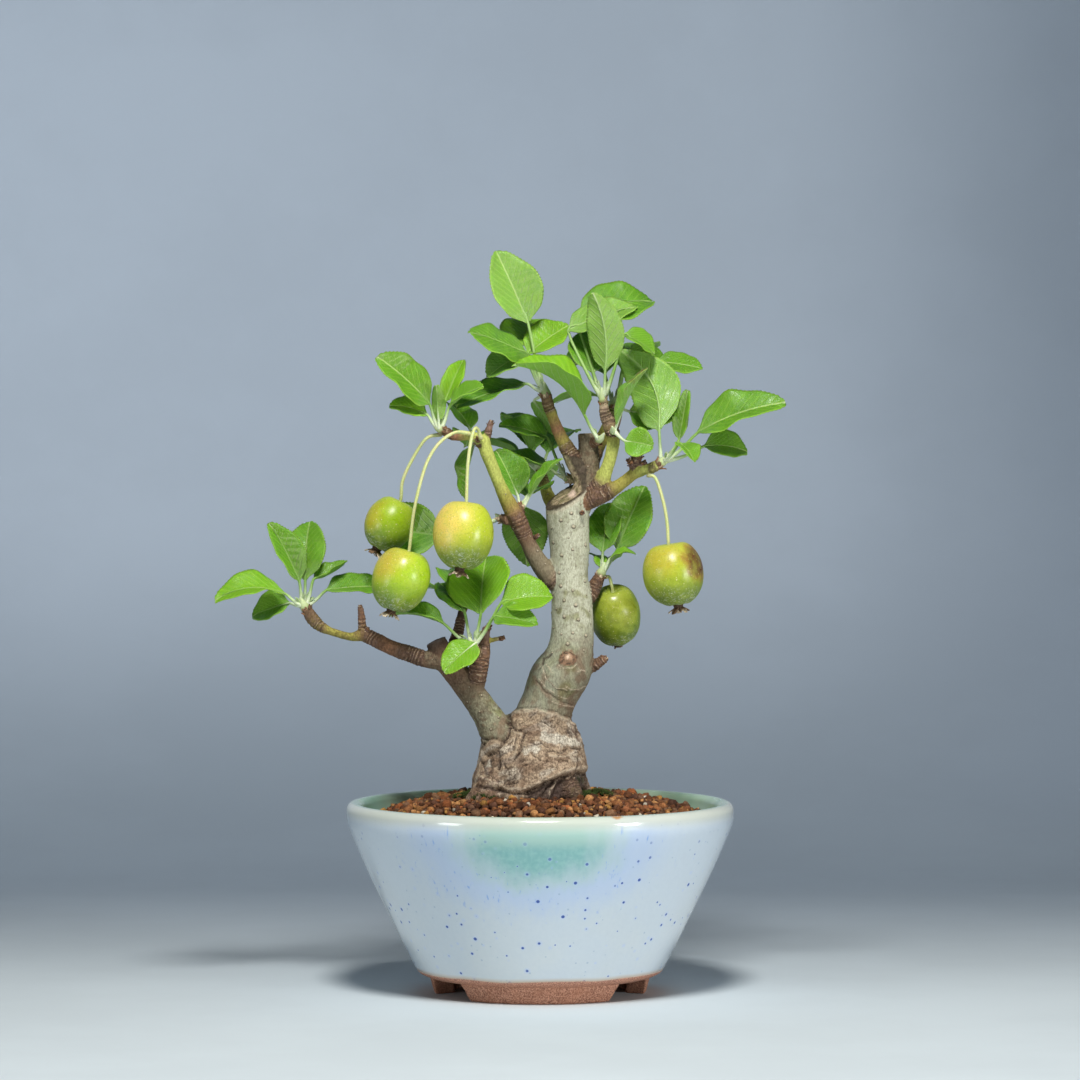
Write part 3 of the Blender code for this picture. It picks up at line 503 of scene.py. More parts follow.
def glaze_finish():
    finish, tree, shader = start_finish("milky_glaze", 0.13, IOR=1.52, Coat_Weight=0.35,
                                        Coat_Roughness=0.05)
    place = pot_space(tree)
    x, y, z = add(tree, "SeparateXYZ", {0: place})
    radius = length_of(add(tree, "CombineXYZ", {0: x, 1: y})[0])
    soft = mottle(place, 1 / 22, 2)
    fine = mottle(place, 1 / 1.6, 3)
    runs = mottle(stretched(place, (1, 1, 0.06)), 1 / 1.7, 2)
    broad_runs = mottle(stretched(place, (1, 1, 0.12)), 1 / 5.5, 2)

    milk = blend(ramp(z, 14, 54), (0.61, 0.67, 0.7), (0.565, 0.655, 0.735))
    milk = blend(ramp(soft, 0.35, 0.68, 0, 0.55), milk, (0.575, 0.655, 0.73))
    milk = blend(ramp(fine, 0.3, 0.75, 0, 0.12), milk, (0.44, 0.53, 0.62))

    across = (x - RUN_CENTRE[0]) / RUN_REACH[0]
    wobble = broad_runs * 0.34 - 0.17
    down = (z - RUN_CENTRE[1]) / RUN_REACH[1]
    down = down * (runs * -0.24 + 1.1)
    far = (abs(across) ** 2 + abs(down) ** 2).step("SQRT")
    far = far + wobble
    front = ramp(y, -30, -20, 1, 0)
    fringe = ramp(far, 0.75, 1) * ramp(far, 1, 1.55, 1, 0)
    fringe = fringe * front
    milk = blend(fringe * 0.7, milk, (0.45, 0.57, 0.78))
    run = ramp(far, 0.42, 1.08, 1, 0) * front
    green = blend(ramp(fine, 0.3, 0.75), (0.165, 0.42, 0.405), (0.235, 0.5, 0.465))
    green = blend(ramp(z, 52, 57), green, (0.33, 0.54, 0.47))
    colour = blend(run * 0.9, milk, green)

    streak = ramp(runs, 0.64, 0.74)
    streak = streak * ramp(far, 0.55, 0.9)
    streak = streak * ramp(far, 1.15, 1.6, 1, 0)
    streak = streak * (front * 0.75)
    colour = blend(streak, colour, (0.22, 0.38, 0.74))
    side_streak = ramp(runs, 0.73, 0.8) * ramp(z, 36, 50)
    side_streak = side_streak * ramp(z, 56, 60, 0.6, 0)
    colour = blend(side_streak, colour, (0.3, 0.44, 0.74))

    low = ramp(z, 44, 58, 1, 0.3)
    core, halo = speckle(place, 4.1, 0.62)
    colour = blend(halo * (low * 0.45), colour, (0.42, 0.55, 0.86))
    colour = blend(core * low, colour, (0.045, 0.1, 0.36))
    small, _ = speckle(place, 3.1, 0.36)
    colour = blend(small * 0.45, colour, (0.22, 0.36, 0.52))

    lip = ramp(z, 57.5, 62.2)
    colour = blend(lip * 0.85, colour, (0.6, 0.63, 0.545))
    thin = ramp(radius, 59.2, 60.4) * ramp(radius, 60.4, 62.4, 1, 0)
    thin = thin * ramp(soft, 0.42, 0.6)
    thin = thin * ramp(z, 61, 63)
    colour = blend(thin * 0.6, colour, (0.55, 0.4, 0.22))

    middle = z * 0.46 + (62 - 61 * 0.46)
    inside = ramp(middle - radius, -0.4, 1.6)
    lining = blend(ramp(soft, 0.3, 0.7), (0.25, 0.44, 0.31), (0.52, 0.69, 0.51))
    colour = blend(inside, colour, lining)

    rust = add(tree, "VectorMath", {0: place, 1: RUST_SPOT}, operation="SUBTRACT")[0]
    rust = stretched(rust, (0.42, 0.42, 0.8))
    rust = length_of(rust)
    rust = rust + fine * 0.6 - 0.3
    colour = blend(ramp(rust, 0.45, 1, 0.85, 0), colour, (0.5, 0.22, 0.05))

    edge = soft * 1.6 + 7.2
    bare = ramp(edge - z, -0.35, 0.35)
    flash = ramp(edge - z, -1.6, 0.1)
    colour = blend(flash * 0.7, colour, (0.55, 0.4, 0.24))
    grit = mottle(place, 1 / 0.45, 2)
    clay = blend(ramp(grit, 0.35, 0.65), (0.28, 0.115, 0.07), (0.62, 0.3, 0.19))
    colour = blend(bare, colour, clay)
    lead(colour, shader)
    lead(bare * 0.65 + 0.13, shader, "Roughness")
    skin = mottle(place, 1 / 6, 2) * 0.25 + grit * bare * 0.8
    relief(shader, skin, 0.35)
    return finish


def clay_finish():
    finish, tree, shader = start_finish("bare_clay", 0.82, Specular_IOR_Level=0.25)
    place = pot_space(tree)
    grit = mottle(place, 1 / 0.5, 3, 0.7)
    patch = mottle(place, 1 / 7, 2)
    clay = blend(ramp(grit, 0.33, 0.66), (0.2, 0.082, 0.052), (0.62, 0.33, 0.22))
    clay = blend(ramp(patch, 0.4, 0.7, 0, 0.5), clay, (0.44, 0.2, 0.12))
    dark = ramp(mottle(place, 1 / 0.28, 1), 0.66, 0.74, 0, 0.8)
    clay = blend(dark, clay, (0.05, 0.025, 0.018))
    lead(clay, shader)
    relief(shader, grit, 0.3)
    return finish


# %% Throw the pot
def build_pot():
    bm = build_feet()
    for face in bm.faces:
        face.material_index = 1
    body = bmesh.new()
    spun(body, bowl_profile(), POT_STEPS)
    mesh = bpy.data.meshes.new("bowl")
    body.to_mesh(mesh)
    body.free()
    bm.from_mesh(mesh)
    bpy.data.meshes.remove(mesh)
    return bm


keep_piece("pot_glazed", build_pot(), [glaze_finish(), clay_finish()], ["pot"])

# %% [markdown]
# ## What holds the soil in
# A square of black net covers the drain hole, held by a wire staple. Neither shows from outside
# except through the hole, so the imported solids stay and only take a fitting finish.


# %% Net and wire finishes
def net_finish():
    finish, tree, shader = start_finish("black_net", 0.55)
    place = pot_space(tree)
    scuff = mottle(place, 1 / 1.5)
    lead(blend(ramp(scuff, 0.4, 0.7), (0.02, 0.02, 0.022), (0.07, 0.07, 0.075)), shader)
    relief(shader, mottle(place, 1 / 0.3), 0.05)
    return finish


def wire_finish():
    finish, tree, shader = start_finish("coated_wire", 0.38, Metallic=1)
    place = pot_space(tree)
    dull = mottle(place, 1 / 0.8)
    lead(blend(dull, (0.42, 0.3, 0.2), (0.62, 0.48, 0.34)), shader)
    relief(shader, mottle(stretched(place, (0.1, 1, 1)), 1 / 0.12), 0.02)
    return finish


for node_name, finish in (("drain_net", net_finish()), ("net_clip", wire_finish())):
    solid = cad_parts[node_name]
    solid.data.materials.clear()
    solid.data.materials.append(finish)
    print(node_name, "keeps its solid")

# %% [markdown]
# ## How the tree is described
# The wood is a set of limbs, and a limb is a run of points that each have a place and a radius.
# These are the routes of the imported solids, so the finer wood lies in the same place. Only the bend
# above the burl is a little slimmer, which opens the fork. Each limb also says how its bark changes
# from base to tip, because a young shoot is yellow-green, an old spur is brown and ringed with bud
# scars, and only the trunk has smooth grey bark.

# %% Routes of the limbs
# A point is (x, y, z, radius).
TRUNK = [
    (-3, 0, 46, 7), (-3.5, 0, 56, 14), (-4, 0, 64.5, 18.8), (-2.8, 0, 73, 18.6),
    (-2.6, 0, 81, 17.2), (-1.6, 0, 85.6, 13.6), (0.2, 0, 89.4, 10.4), (1.5, -0.1, 93.6, 9.2),
    (2.8, -0.2, 97.2, 8.9), (4, -0.4, 100.4, 9.1), (5.7, -0.7, 104.2, 9.5), (8.4, -1, 108.5, 9.1),
    (10.2, -1, 114.5, 7.7), (10.8, -0.8, 121, 7.1),
    (10.6, -0.4, 130, 6.8), (9.7, 0, 139, 6.3), (9.9, 0, 149, 6.6), (9.2, 0, 159, 7.2),
    (9.2, 0, 173, 7.4),
]
# The shoulder is the burl's bulge on the right, under the bend.
ROOTS = {
    "shoulder": [(1, 0, 76, 13.2), (1.6, 0, 82, 13.2), (2, 0, 86.5, 10.7), (1.4, 0, 90.6, 8.2)],
    "root_front_left": [(-8, -6, 76, 8), (-15, -10, 69, 6.5), (-22, -13, 61, 4.5), (-26, -15, 54, 3)],
    "root_front_right": [(5, -6, 77, 6), (9.5, -11, 70, 4.8), (14, -14.5, 62, 3.8), (17, -17, 55, 2.6)],
    "root_right": [(7.5, 2, 75, 7.5), (12, 4, 66, 5.3), (17, 6, 57, 3.4)],
    "root_back": [(0, 8, 76, 7.5), (2, 15, 67, 5.5), (4, 21, 58, 3.4)],
    "root_back_left": [(-9, 5, 76, 8), (-16, 9, 66, 5.5), (-22, 13, 57, 3.4)],
}
LIMBS = {
    "second_trunk": [(-8, -2, 76, 9), (-12.5, -3, 84, 7.2), (-16.5, -4, 91, 5.2), (-20, -5, 96.5, 4.6),
        (-23.6, -6, 101.5, 4.4), (-27.8, -6.5, 107, 4.3), (-32, -7, 111.2, 3.9), (-37, -7, 111.8, 2.9)],
    "low_branch": [(-33, -7, 111, 3.2), (-38, -7, 111.6, 2.7), (-43.5, -6.5, 113.5, 2.6),
        (-49, -6, 115.2, 2.5), (-54.7, -5.5, 118, 2.3), (-58.7, -5, 119.6, 2.2), (-63, -4.8, 119, 1.4),
        (-68.6, -4.5, 120.5, 1.3), (-72.6, -4.2, 122.2, 1.7), (-75.4, -4, 124.6, 2),
        (-77.4, -4, 127.6, 1.8)],
    "low_twig": [(-59, -5, 119, 1.7), (-59.2, -5, 123.5, 1.3), (-59.8, -5.2, 129.6, 0.7)],
    "cut_stub": [(-31.5, -7, 111.5, 3.6), (-34.6, -7.6, 117.8, 3.5)],
    "upright_spur": [(-22, -6.5, 101, 3.4), (-20.6, -8.5, 107.5, 3.1), (-19.4, -9, 113, 2.7),
        (-18.6, -9, 118, 1.9), (-17.6, -9, 122.5, 1.3)],
    "spur_side": [(-19.2, -9, 112, 2), (-21.4, -11.6, 115.2, 1.5)],
    "spur_twig": [(-18, -9, 117.6, 0.9), (-12.6, -9.5, 118.9, 0.7)],
    "dark_twig": [(-27.5, -4.5, 108, 2.6), (-29, -1.5, 114, 2.1), (-27.4, 0.5, 120, 1.8),
        (-25.9, 1.5, 127.4, 1.4)],
    "left_branch": [(8, 0, 136, 4.2), (3, -1.5, 139.5, 3.6), (-1.7, -3, 145.8, 2.9),
        (-4.9, -4.5, 152.4, 2.6), (-7.4, -5.5, 157.7, 2.9), (-10.3, -6.5, 163.2, 2.6),
        (-13.2, -7.5, 169.2, 2.1), (-15.6, -8.5, 175.2, 2.1), (-17.6, -9.5, 180.2, 2.2),
        (-18.9, -10, 184.8, 2.2)],
    "left_stub": [(-18.4, -10, 183.5, 1.5), (-17, -9.6, 187.6, 1.1), (-16.4, -9.4, 190.6, 0.8)],
    "left_twig": [(-18.9, -10, 184, 1.9), (-22.6, -10, 185.8, 1.6), (-28.2, -10, 185.7, 1.4),
        (-31.6, -10, 187.4, 1.5)],
    "ring_spur": [(-8.2, -5.5, 160, 2), (-6.8, -2.4, 161.6, 1.5)],
    "behind_spur": [(-10.2, -6.4, 158, 1.9), (-12.2, -3.2, 158.2, 1.4)],
    "leader_stub": [(12.6, 0, 162, 4.6), (15, 0, 168.4, 4), (16.4, 0, 175, 3.5), (16.2, 0, 181, 3.3),
        (16, 0, 186.6, 3.4)],
    "top_twig": [(15.6, 0, 169, 2.8), (12.2, -1, 175.2, 2.8), (9.8, -1.5, 180.2, 2.6),
        (6.9, -2, 185.7, 2.1), (4.9, -2.5, 190.2, 1.9), (3, -2.5, 195.2, 1.7), (2.2, -2.5, 198.6, 1.9)],
    "right_twig": [(15, -0.5, 167, 3.2), (20, -2.5, 169.6, 2.7), (22, -3.5, 174.4, 2.2),
        (23.6, -4.5, 179.4, 2.1), (24.4, -5, 185.2, 2.2), (23.2, -5.5, 189.4, 2.3),
        (21.6, -6, 193.2, 1.7), (21.1, -6.2, 196.6, 1.5)],
    "dry_twig": [(24, -5.2, 186, 1.4), (26.2, -4.8, 191.2, 0.8), (27.4, -4.6, 196.4, 0.7)],
    "right_branch": [(13, -1.5, 163, 3.4), (18, -3, 165.2, 3), (22.4, -4.2, 167.2, 2.7),
        (26.6, -5, 169.6, 2.1), (30.6, -5.6, 172.8, 1.9), (34, -6, 174.6, 2), (37.2, -6.4, 175.2, 1.7),
        (39.2, -6.8, 176.4, 1.7)],
    "bud_twig": [(31.4, -5.6, 173, 1.7), (31.8, -5.6, 177.2, 1.8), (32.4, -5.6, 179.6, 1.3)],
    "right_spur": [(12, 0, 129, 3.4), (16.8, 1.5, 132.8, 2.5), (18.8, 2.2, 136.4, 2.1),
        (19.8, 2.4, 138.6, 1.8)],
    "right_nub": [(14.5, -1, 107.4, 2.2), (18.6, -1.8, 109.6, 1.7), (21.6, -2.2, 111.8, 1.5)],
    "front_knob": [(9.4, -4, 111.4, 3.6), (9.1, -9.8, 111.8, 2.4)],
    "back_branch": [(9.8, 2, 150, 4.2), (8, 8, 154.6, 3.2), (5.4, 14, 160, 2.6), (2.4, 19, 166.4, 2.1),
        (0.4, 22, 172.4, 1.8)],
    "back_twig": [(16.2, 1, 176, 2.9), (19.2, 6, 181.6, 2.4), (22.4, 10.6, 188.4, 2),
        (24.4, 13, 194.6, 1.7)],
    "collar_spur": [(14.4, 1.4, 171.6, 2.4), (10.8, 4.6, 171.4, 1.5)],
    "stub_bud": [(17, -1, 183, 2), (19, -4.4, 184.2, 1.4)],
    "node_bud": [(24.4, -5.2, 186.8, 2), (24.2, -8.6, 187.2, 1.2)],
    "tip_bud": [(-18.9, -10, 183, 1.9), (-20.4, -6.6, 183.8, 1.3)],
}
TOP_CUT = (Vector((9.2, 0, 166.2)), Vector((-0.55, -0.35, 1)).normalized())
print(1 + len(ROOTS) + len(LIMBS), "limbs")

# %% [markdown]
# ## Sweeping the limbs
# Each limb is a circle that is extruded from station to station along a smooth curve, turning with
# it and taking the radius of each point. The trunk's pruned top is cut off at its slant. All the
# limbs then overlap in one mesh, and a voxel remesh makes one skin of them, as bark is one skin.

# %% Sweep and skin the wood
LIMB_STEPS = 4
BARK_VOXEL = 0.485


def sweep(bm, route, sides):
    """Extrudes a circle along points of (x, y, z, radius) and caps both ends."""
    stations = [(Vector(p[:3]), p[3]) for p in route]
    across = None
    ring = bmesh.ops.create_circle(bm, cap_ends=True, segments=sides, radius=1)["verts"]
    made = list(ring)
    for i, (centre, radius) in enumerate(stations):
        before = stations[max(i - 1, 0)][0]
        after = stations[min(i + 1, len(stations) - 1)][0]
        along = (after - before).normalized()
        if across is None:
            across = along.orthogonal().normalized()
        across = (across - along * across.dot(along)).normalized()
        beside = along.cross(across)
        if i:
            edges = {e for v in ring for e in v.link_edges if all(w in ring for w in e.verts)}
            grown = bmesh.ops.extrude_edge_only(bm, edges=[e for e in bm.edges if e in edges])["geom"]
            links = {v: next(w for w in grown if isinstance(w, bmesh.types.BMVert)
                             and any(w in e.verts for e in v.link_edges)) for v in ring}
            ring = [links[v] for v in ring]
            made += ring
        for k, v in enumerate(ring):
            turn = math.tau * k / sides
            v.co = centre + (across * math.cos(turn) + beside * math.sin(turn)) * radius
    bmesh.ops.contextual_create(bm, geom=ring)
    return made


def smooth_route(route, steps=LIMB_STEPS):
    return [tuple(p) for p in eased(route, steps)]


def build_wood():
    bm = bmesh.new()
    sweep(bm, smooth_route(TRUNK), 40)
    point, slant = TOP_CUT
    cut = bmesh.ops.bisect_plane(bm, geom=bm.verts[:] + bm.edges[:] + bm.faces[:], plane_co=point,
                                 plane_no=slant, clear_outer=True)
    bmesh.ops.holes_fill(bm, edges=[e for e in cut["geom_cut"] if isinstance(e, bmesh.types.BMEdge)])
    for route in [*ROOTS.values(), *LIMBS.values()]:
        sweep(bm, smooth_route(route), 20)
    bmesh.ops.recalc_face_normals(bm, faces=bm.faces)
    return voxel_skin(loose_object("limbs", bm), BARK_VOXEL)


# %% [markdown]
# ## Knowing where the bark is
# To roughen and tint the bark, each point of the skin has to know which limb it is on and how far
# along. The distance to every piece of every route is worked out at once with numpy, and the
# nearest piece wins.

# %% Measure the skin against the routes
ALL_LIMBS = {"trunk": TRUNK, **ROOTS, **LIMBS}
LIMB_NAMES = list(ALL_LIMBS)


def route_pieces():
    """Every short straight piece of every route: its ends, its limb and how far along it lies."""
    starts, ends, limbs, spans = [], [], [], []
    for index, route in enumerate(ALL_LIMBS.values()):
        points = smooth_route(route)
        steps = [math.dist(a[:3], b[:3]) for a, b in zip(points, points[1:])]
        whole, gone = sum(steps), 0
        for a, b, step in zip(points, points[1:], steps):
            starts.append(a)
            ends.append(b)
            limbs.append(index)
            spans.append((gone, gone + step, whole))
            gone += step
    return np.array(starts), np.array(ends), np.array(limbs), np.array(spans)


PIECES = route_pieces()


def nearest_limb(places):
    """For each place: its limb, how far along it (as a share and in mm), and the height above it."""
    starts, ends, limbs, spans = PIECES
    step = ends[:, :3] - starts[:, :3]
    square = (step ** 2).sum(axis=1)
    found = []
    for group in np.array_split(places, max(1, len(places) // 4000)):
        away = group[:, None, :] - starts[None, :, :3]
        part = np.clip((away * step).sum(axis=2) / square, 0.0, 1.0)
        near = np.linalg.norm(away - part[:, :, None] * step, axis=2)
        height = near - (starts[:, 3] + part * (ends[:, 3] - starts[:, 3]))
        best = height.argmin(axis=1)
        rows = np.arange(len(group))
        share = part[rows, best]
        along = spans[best, 0] + share * (spans[best, 1] - spans[best, 0])
        found.append(np.column_stack([limbs[best], along / spans[best, 2], along, height[rows, best]]))
    return np.concatenate(found)


print(len(PIECES[0]), "pieces of route")

# %% [markdown]
# ## Bark relief and colour
# Relief comes in layers. The burl at the foot heaves in lumps and splits in long fissures. Above
# it the trunk wears sagging wrinkles, then smooth grey bark with pale raised pores. Spurs and the
# bases of shoots carry a ring for each year's bud scar. The same layers decide the tint, which is
# kept on the points as a colour attribute; the material adds what is finer than the points. Fissures,
# creases, ring grooves, the hollow under the root arch and the bark under each pore are painted dark,
# in part as painted shade, and the crests of ridges and rings are painted pale, in part as painted
# highlight.

# %% Bark tints and rings
BARK = {
    "tan": (0.46, 0.35, 0.245), "ash": (0.58, 0.52, 0.43), "umber": (0.075, 0.042, 0.026),
    "brown": (0.17, 0.098, 0.058), "rust": (0.27, 0.135, 0.07), "grey": (0.46, 0.465, 0.355),
    "moss": (0.165, 0.175, 0.06), "sage": (0.3, 0.305, 0.205), "drab": (0.2, 0.165, 0.105),
    "olive": (0.3, 0.27, 0.055), "lime": (0.42, 0.46, 0.11), "dark": (0.028, 0.018, 0.012),
    "cream": (0.62, 0.5, 0.36), "plum": (0.19, 0.12, 0.105),
}
# A limb's bark: tints from base to tip, then the stretches that are ringed with bud scars.
LIMB_BARK = {
    "trunk": (["tan", "tan", "tan", "drab", "sage", "grey", "grey", "grey", "grey"], []),
    "second_trunk": (["drab", "drab", "sage", "drab", "brown", "drab"], []),
    "low_branch": (["drab", "brown", "brown", "rust", "rust", "olive", "olive", "olive", "brown"],
        [(0.1, 0.32), (0.4, 0.58), (0.8, 1)]),
    "low_twig": (["olive", "rust", "brown"], [(0.1, 0.9)]),
    "cut_stub": (["brown", "dark"], []),
    "upright_spur": (["drab", "brown", "rust", "brown", "plum"], [(0.15, 0.85)]),
    "spur_side": (["rust", "olive"], [(0.2, 1)]),
    "spur_twig": (["olive", "olive", "tan"], []),
    "dark_twig": (["brown", "umber", "umber"], [(0.3, 0.9)]),
    "left_branch": (["tan", "drab", "drab", "brown", "rust", "olive", "lime", "lime", "lime"],
        [(0.03, 0.12), (0.36, 0.56)]),
    "left_stub": (["brown", "plum"], [(0.3, 0.7)]),
    "left_twig": (["lime", "lime", "rust", "rust"], [(0.7, 1)]),
    "leader_stub": (["grey", "drab", "drab", "drab"], [(0.12, 0.2)]),
    "top_twig": (["umber", "umber", "brown", "olive", "rust", "olive", "brown"], [(0.1, 0.52),
        (0.82, 0.98)]),
    "right_twig": (["rust", "brown", "lime", "lime", "lime", "olive", "tan", "tan"], [(0, 0.22),
        (0.66, 0.98)]),
    "dry_twig": (["drab", "plum", "plum"], []),
    "right_branch": (["rust", "brown", "brown", "olive", "olive", "lime", "lime"], [(0.1, 0.42),
        (0.86, 1)]),
    "bud_twig": (["plum", "brown", "plum"], [(0, 1)]),
    "right_spur": (["rust", "rust", "brown", "rust"], [(0.1, 1)]),
    "right_nub": (["tan", "brown", "rust"], [(0.3, 1)]),
    "front_knob": (["drab", "rust", "rust"], []),
    "back_branch": (["tan", "drab", "olive", "lime"], [(0.35, 0.5), (0.85, 1)]),
    "back_twig": (["brown", "olive", "lime"], [(0.1, 0.3), (0.85, 1)]),
}
PLAIN_BARK = (["brown", "rust"], [(0.2, 1)])
RING_SPACING = 1.15


def tint_along(names, part):
    """The tint a fraction of the way along a list of tints."""
    at = min(max(part, 0), 0.9999) * (len(names) - 1)
    low = int(at)
    below, above = BARK[names[low]], BARK[names[min(low + 1, len(names) - 1)]]
    return [a + (b - a) * (at - low) for a, b in zip(below, above)]


def mixed(colour, other, share):
    """A share of another colour, or of a tint of the bark by its name, mixed into a colour."""
    share = min(max(share, 0), 1)
    other = BARK[other] if isinstance(other, str) else other
    return [a + (b - a) * share for a, b in zip(colour, other)]


def step_up(value, low, high):
    """0 below the range, 1 above it and a smooth step between."""
    t = min(max((value - low) / (high - low), 0), 1)
    return t * t * (3 - 2 * t)


# %% Creases, ridges and the places of the pores
PORES_SEED = 5
PORE_COUNT = 170
# A line is its (x, z) points over the wood's near side, its depth and half its width.
# A crease's depth also sets how dark it is painted, in part as painted shade in the crease.
CREASES = [
    ([(-9.6, 94.6), (-4.4, 95.7), (0.6, 95.4), (5.4, 94.3), (9.9, 91.9), (13.1, 87.9), (15.8, 83.2)],
     0.25, 0.4),
    ([(-10.2, 93.2), (-10.5, 90), (-10.6, 87.2), (-13, 84.4), (-14.4, 82), (-18, 79.6)], 1.6, 0.75),
    ([(-14.3, 82), (-13.5, 79), (-13.6, 75.4)], 1.1, 0.55),
    ([(-9.8, 89.8), (-7.6, 88.6), (-5, 87.6), (-5.8, 85.2), (-6.8, 81.4), (-8.8, 79)], 0.9, 0.55),
    ([(-7.6, 86.8), (-8.4, 84), (-9.8, 81.2)], 0.6, 0.4),
    ([(-4.4, 84.8), (-1.8, 84.1), (0.6, 84.2), (3, 83.2)], 0.5, 0.4),
    ([(2.4, 81.4), (4.6, 82.3), (7.2, 81.2), (10.2, 82.4), (13.6, 81.2)], 0.6, 0.5),
    ([(12.6, 80.4), (12.8, 77.6), (11.8, 75.2)], 0.5, 0.45),
    ([(-5, 68), (1.1, 70.5), (7.2, 72.9), (12.6, 74.1), (16.4, 72.4)], 1.6, 0.8),
    ([(4.9, 71.4), (2.4, 69), (0.9, 66)], 1, 0.5),
    ([(8, 72.2), (5.8, 69.4), (4.8, 66)], 0.9, 0.5),
    ([(-19.8, 77.4), (-17.4, 73), (-21, 69.4)], 0.5, 0.4),
    ([(-16.6, 79), (-16, 75.6), (-17.2, 72.8)], 0.5, 0.4),
    ([(-21.4, 70.2), (-15.6, 69), (-9, 67.4), (-4, 67.8)], 0.9, 0.6),
    ([(-20.6, 85.6), (-17.6, 84.8), (-14.4, 85.4)], 0.5, 0.4),
    ([(-12.4, 78.6), (-11, 75.4), (-12, 73.2)], 0.3, 0.35),
    ([(-2.6, 80.4), (0.4, 78.6), (4.4, 78.2)], 0.25, 0.3),
    ([(-0.8, 91.2), (2.6, 90.2), (5.2, 88.4)], 0.35, 0.35),
    ([(5.6, 90.4), (8.8, 88.2), (11, 85.6)], 0.35, 0.35),
    ([(3.4, 113.2), (1.2, 111.6), (0.8, 110.2)], 0.5, 0.6),
    ([(0.6, 109.6), (-0.6, 108)], 0.3, 0.4),
    ([(1.6, 108.2), (2.6, 104.8), (5.4, 101.8), (8.8, 100.9)], 0.15, 0.3),
    ([(-1.2, 104.2), (1.2, 101.4), (4.6, 99), (8.3, 97.2), (10.9, 96)], 0.2, 0.4),
]
RIDGES = [
    ([(-10, 93.2), (-5.4, 94.4), (-0.8, 94.5), (4.9, 93.2), (9.1, 91), (12.2, 87), (14.9, 82.2)], 0.9,
     0.9),
    ([(-10, 88.6), (-7.8, 87.4), (-5.4, 86.4)], 0.6, 0.5),
    ([(-8.6, 85.6), (-7.6, 83), (-8.4, 80.6)], 0.4, 0.4),
    ([(-20.4, 73), (-14.8, 71), (-9.4, 69.2), (-5, 69.4)], 0.5, 0.6),
    ([(-4.6, 69.6), (1.1, 72.1), (7, 74.5), (12.2, 75.8), (15.8, 75.2)], 0.7, 0.9),
    ([(3.2, 80.2), (7.4, 79.8), (12.4, 80)], 0.3, 0.5),
    ([(6.4, 72), (4.2, 69.2), (3.2, 66)], 0.6, 0.5),
    ([(0.9, 109.4), (1.9, 105.4), (5.3, 102.4), (8.8, 101.5)], 0.3, 0.4),
    ([(8.2, 102.8), (10.2, 101.5), (12.6, 101.6), (14.9, 102.5)], 0.3, 0.4),
    ([(-0.6, 105.2), (2.2, 102.2), (5.4, 100), (9, 98.4)], 0.25, 0.35),
    ([(3.8, 97.8), (7.4, 96.4), (11, 95.6)], 0.25, 0.35),
    ([(1.8, 110.2), (3.6, 107.9), (4.8, 107.2)], 0.25, 0.35),
    ([(6.2, 109.9), (8, 108.9), (10.6, 109), (12.2, 110)], 0.35, 0.4),
    ([(12, 107.4), (13.6, 108.2), (15, 107.6)], 0.3, 0.4),
]
MARKED_TOP = 114
EYE_KNOT = ((-10.4, 72.2), 1.9)
BROWN_BAND = [(-3, 106), (-1, 103.8), (1.4, 101), (4.8, 98.7), (8.6, 96.9), (12, 95.4)]
LIP_LINE = [(-22, 86), (-18, 84.6), (-14, 84.4), (-11.5, 86.5), (-10.4, 91.5), (-9.5, 94), (-0.8, 94.8),
            (4.9, 93.6), (9.1, 91.4), (12.2, 87.5), (14.9, 82.6), (18, 80)]
ARCH_LINE = [(-7, 66), (-5, 68.2), (1.1, 70.9), (7.2, 73.2), (12.6, 74.4), (16, 72.6), (19, 69)]
ASH_PATCHES = [((7.2, 85), (5.4, -1.2), 1.8), ((-3, 82.4), (1.8, 0.4), 1.3), ((-17, 76), (0.4, 1.8), 0.8)]


def height_over(line, x):
    """How high a line of (x, z) points runs at this x."""
    return float(np.interp(x, [p[0] for p in line], [p[1] for p in line]))


def line_reach(flat, lines):
    """For each point: the nearest line in half widths, its depth, and how far all the lines move it."""
    nearest = np.full(len(flat), 9.0)
    deepest = np.zeros(len(flat))
    push = np.zeros(len(flat))
    for line, depth, half in lines:
        gap = np.full(len(flat), 99.0)
        for a, b in zip(np.array(line[:-1]), np.array(line[1:])):
            run = b - a
            part = np.clip((flat - a) @ run / (run @ run), 0.0, 1.0)
            gap = np.minimum(gap, np.linalg.norm(flat - a - part[:, None] * run, axis=1))
        deepest = np.where(gap / half < nearest, depth, deepest)
        nearest = np.minimum(nearest, gap / half)
        push += depth * np.exp(-(gap / half) ** 2)
    return nearest, deepest, push


def measure_marks(places, limbs, wander):
    """Creases and ridges over the near side of the trunk: distances, the creases' depth and the push."""
    flat = places[:, [0, 2]] + 0.45 * wander[:, :2]
    creases, deep, sink = line_reach(flat, CREASES)
    ridges, _, rise = line_reach(flat, RIDGES)
    (cx, cz), wide = EYE_KNOT
    eye = np.hypot((flat[:, 0] - cx) / wide, flat[:, 1] - cz)
    for ring in (np.abs(eye - 1.45) / 0.3, eye / 0.45, np.abs(eye - 0.9) / 0.2):
        creases = np.minimum(creases, ring)
    old_wood = np.array([limb in ("trunk", "second_trunk", "front_knob", *ROOTS) for limb in limbs])
    near = np.clip((4.0 - places[:, 1]) / 6.0, 0.0, 1.0) * old_wood * (places[:, 2] < MARKED_TOP)
    away = near < 0.2
    creases[away] = 9
    ridges[away] = 9
    deep = np.clip(0.48 + 0.55 * deep, 0.0, 1.0)
    return creases, ridges, deep, near * (rise * (0.6 + 0.8 * wander[:, 2]) - sink)


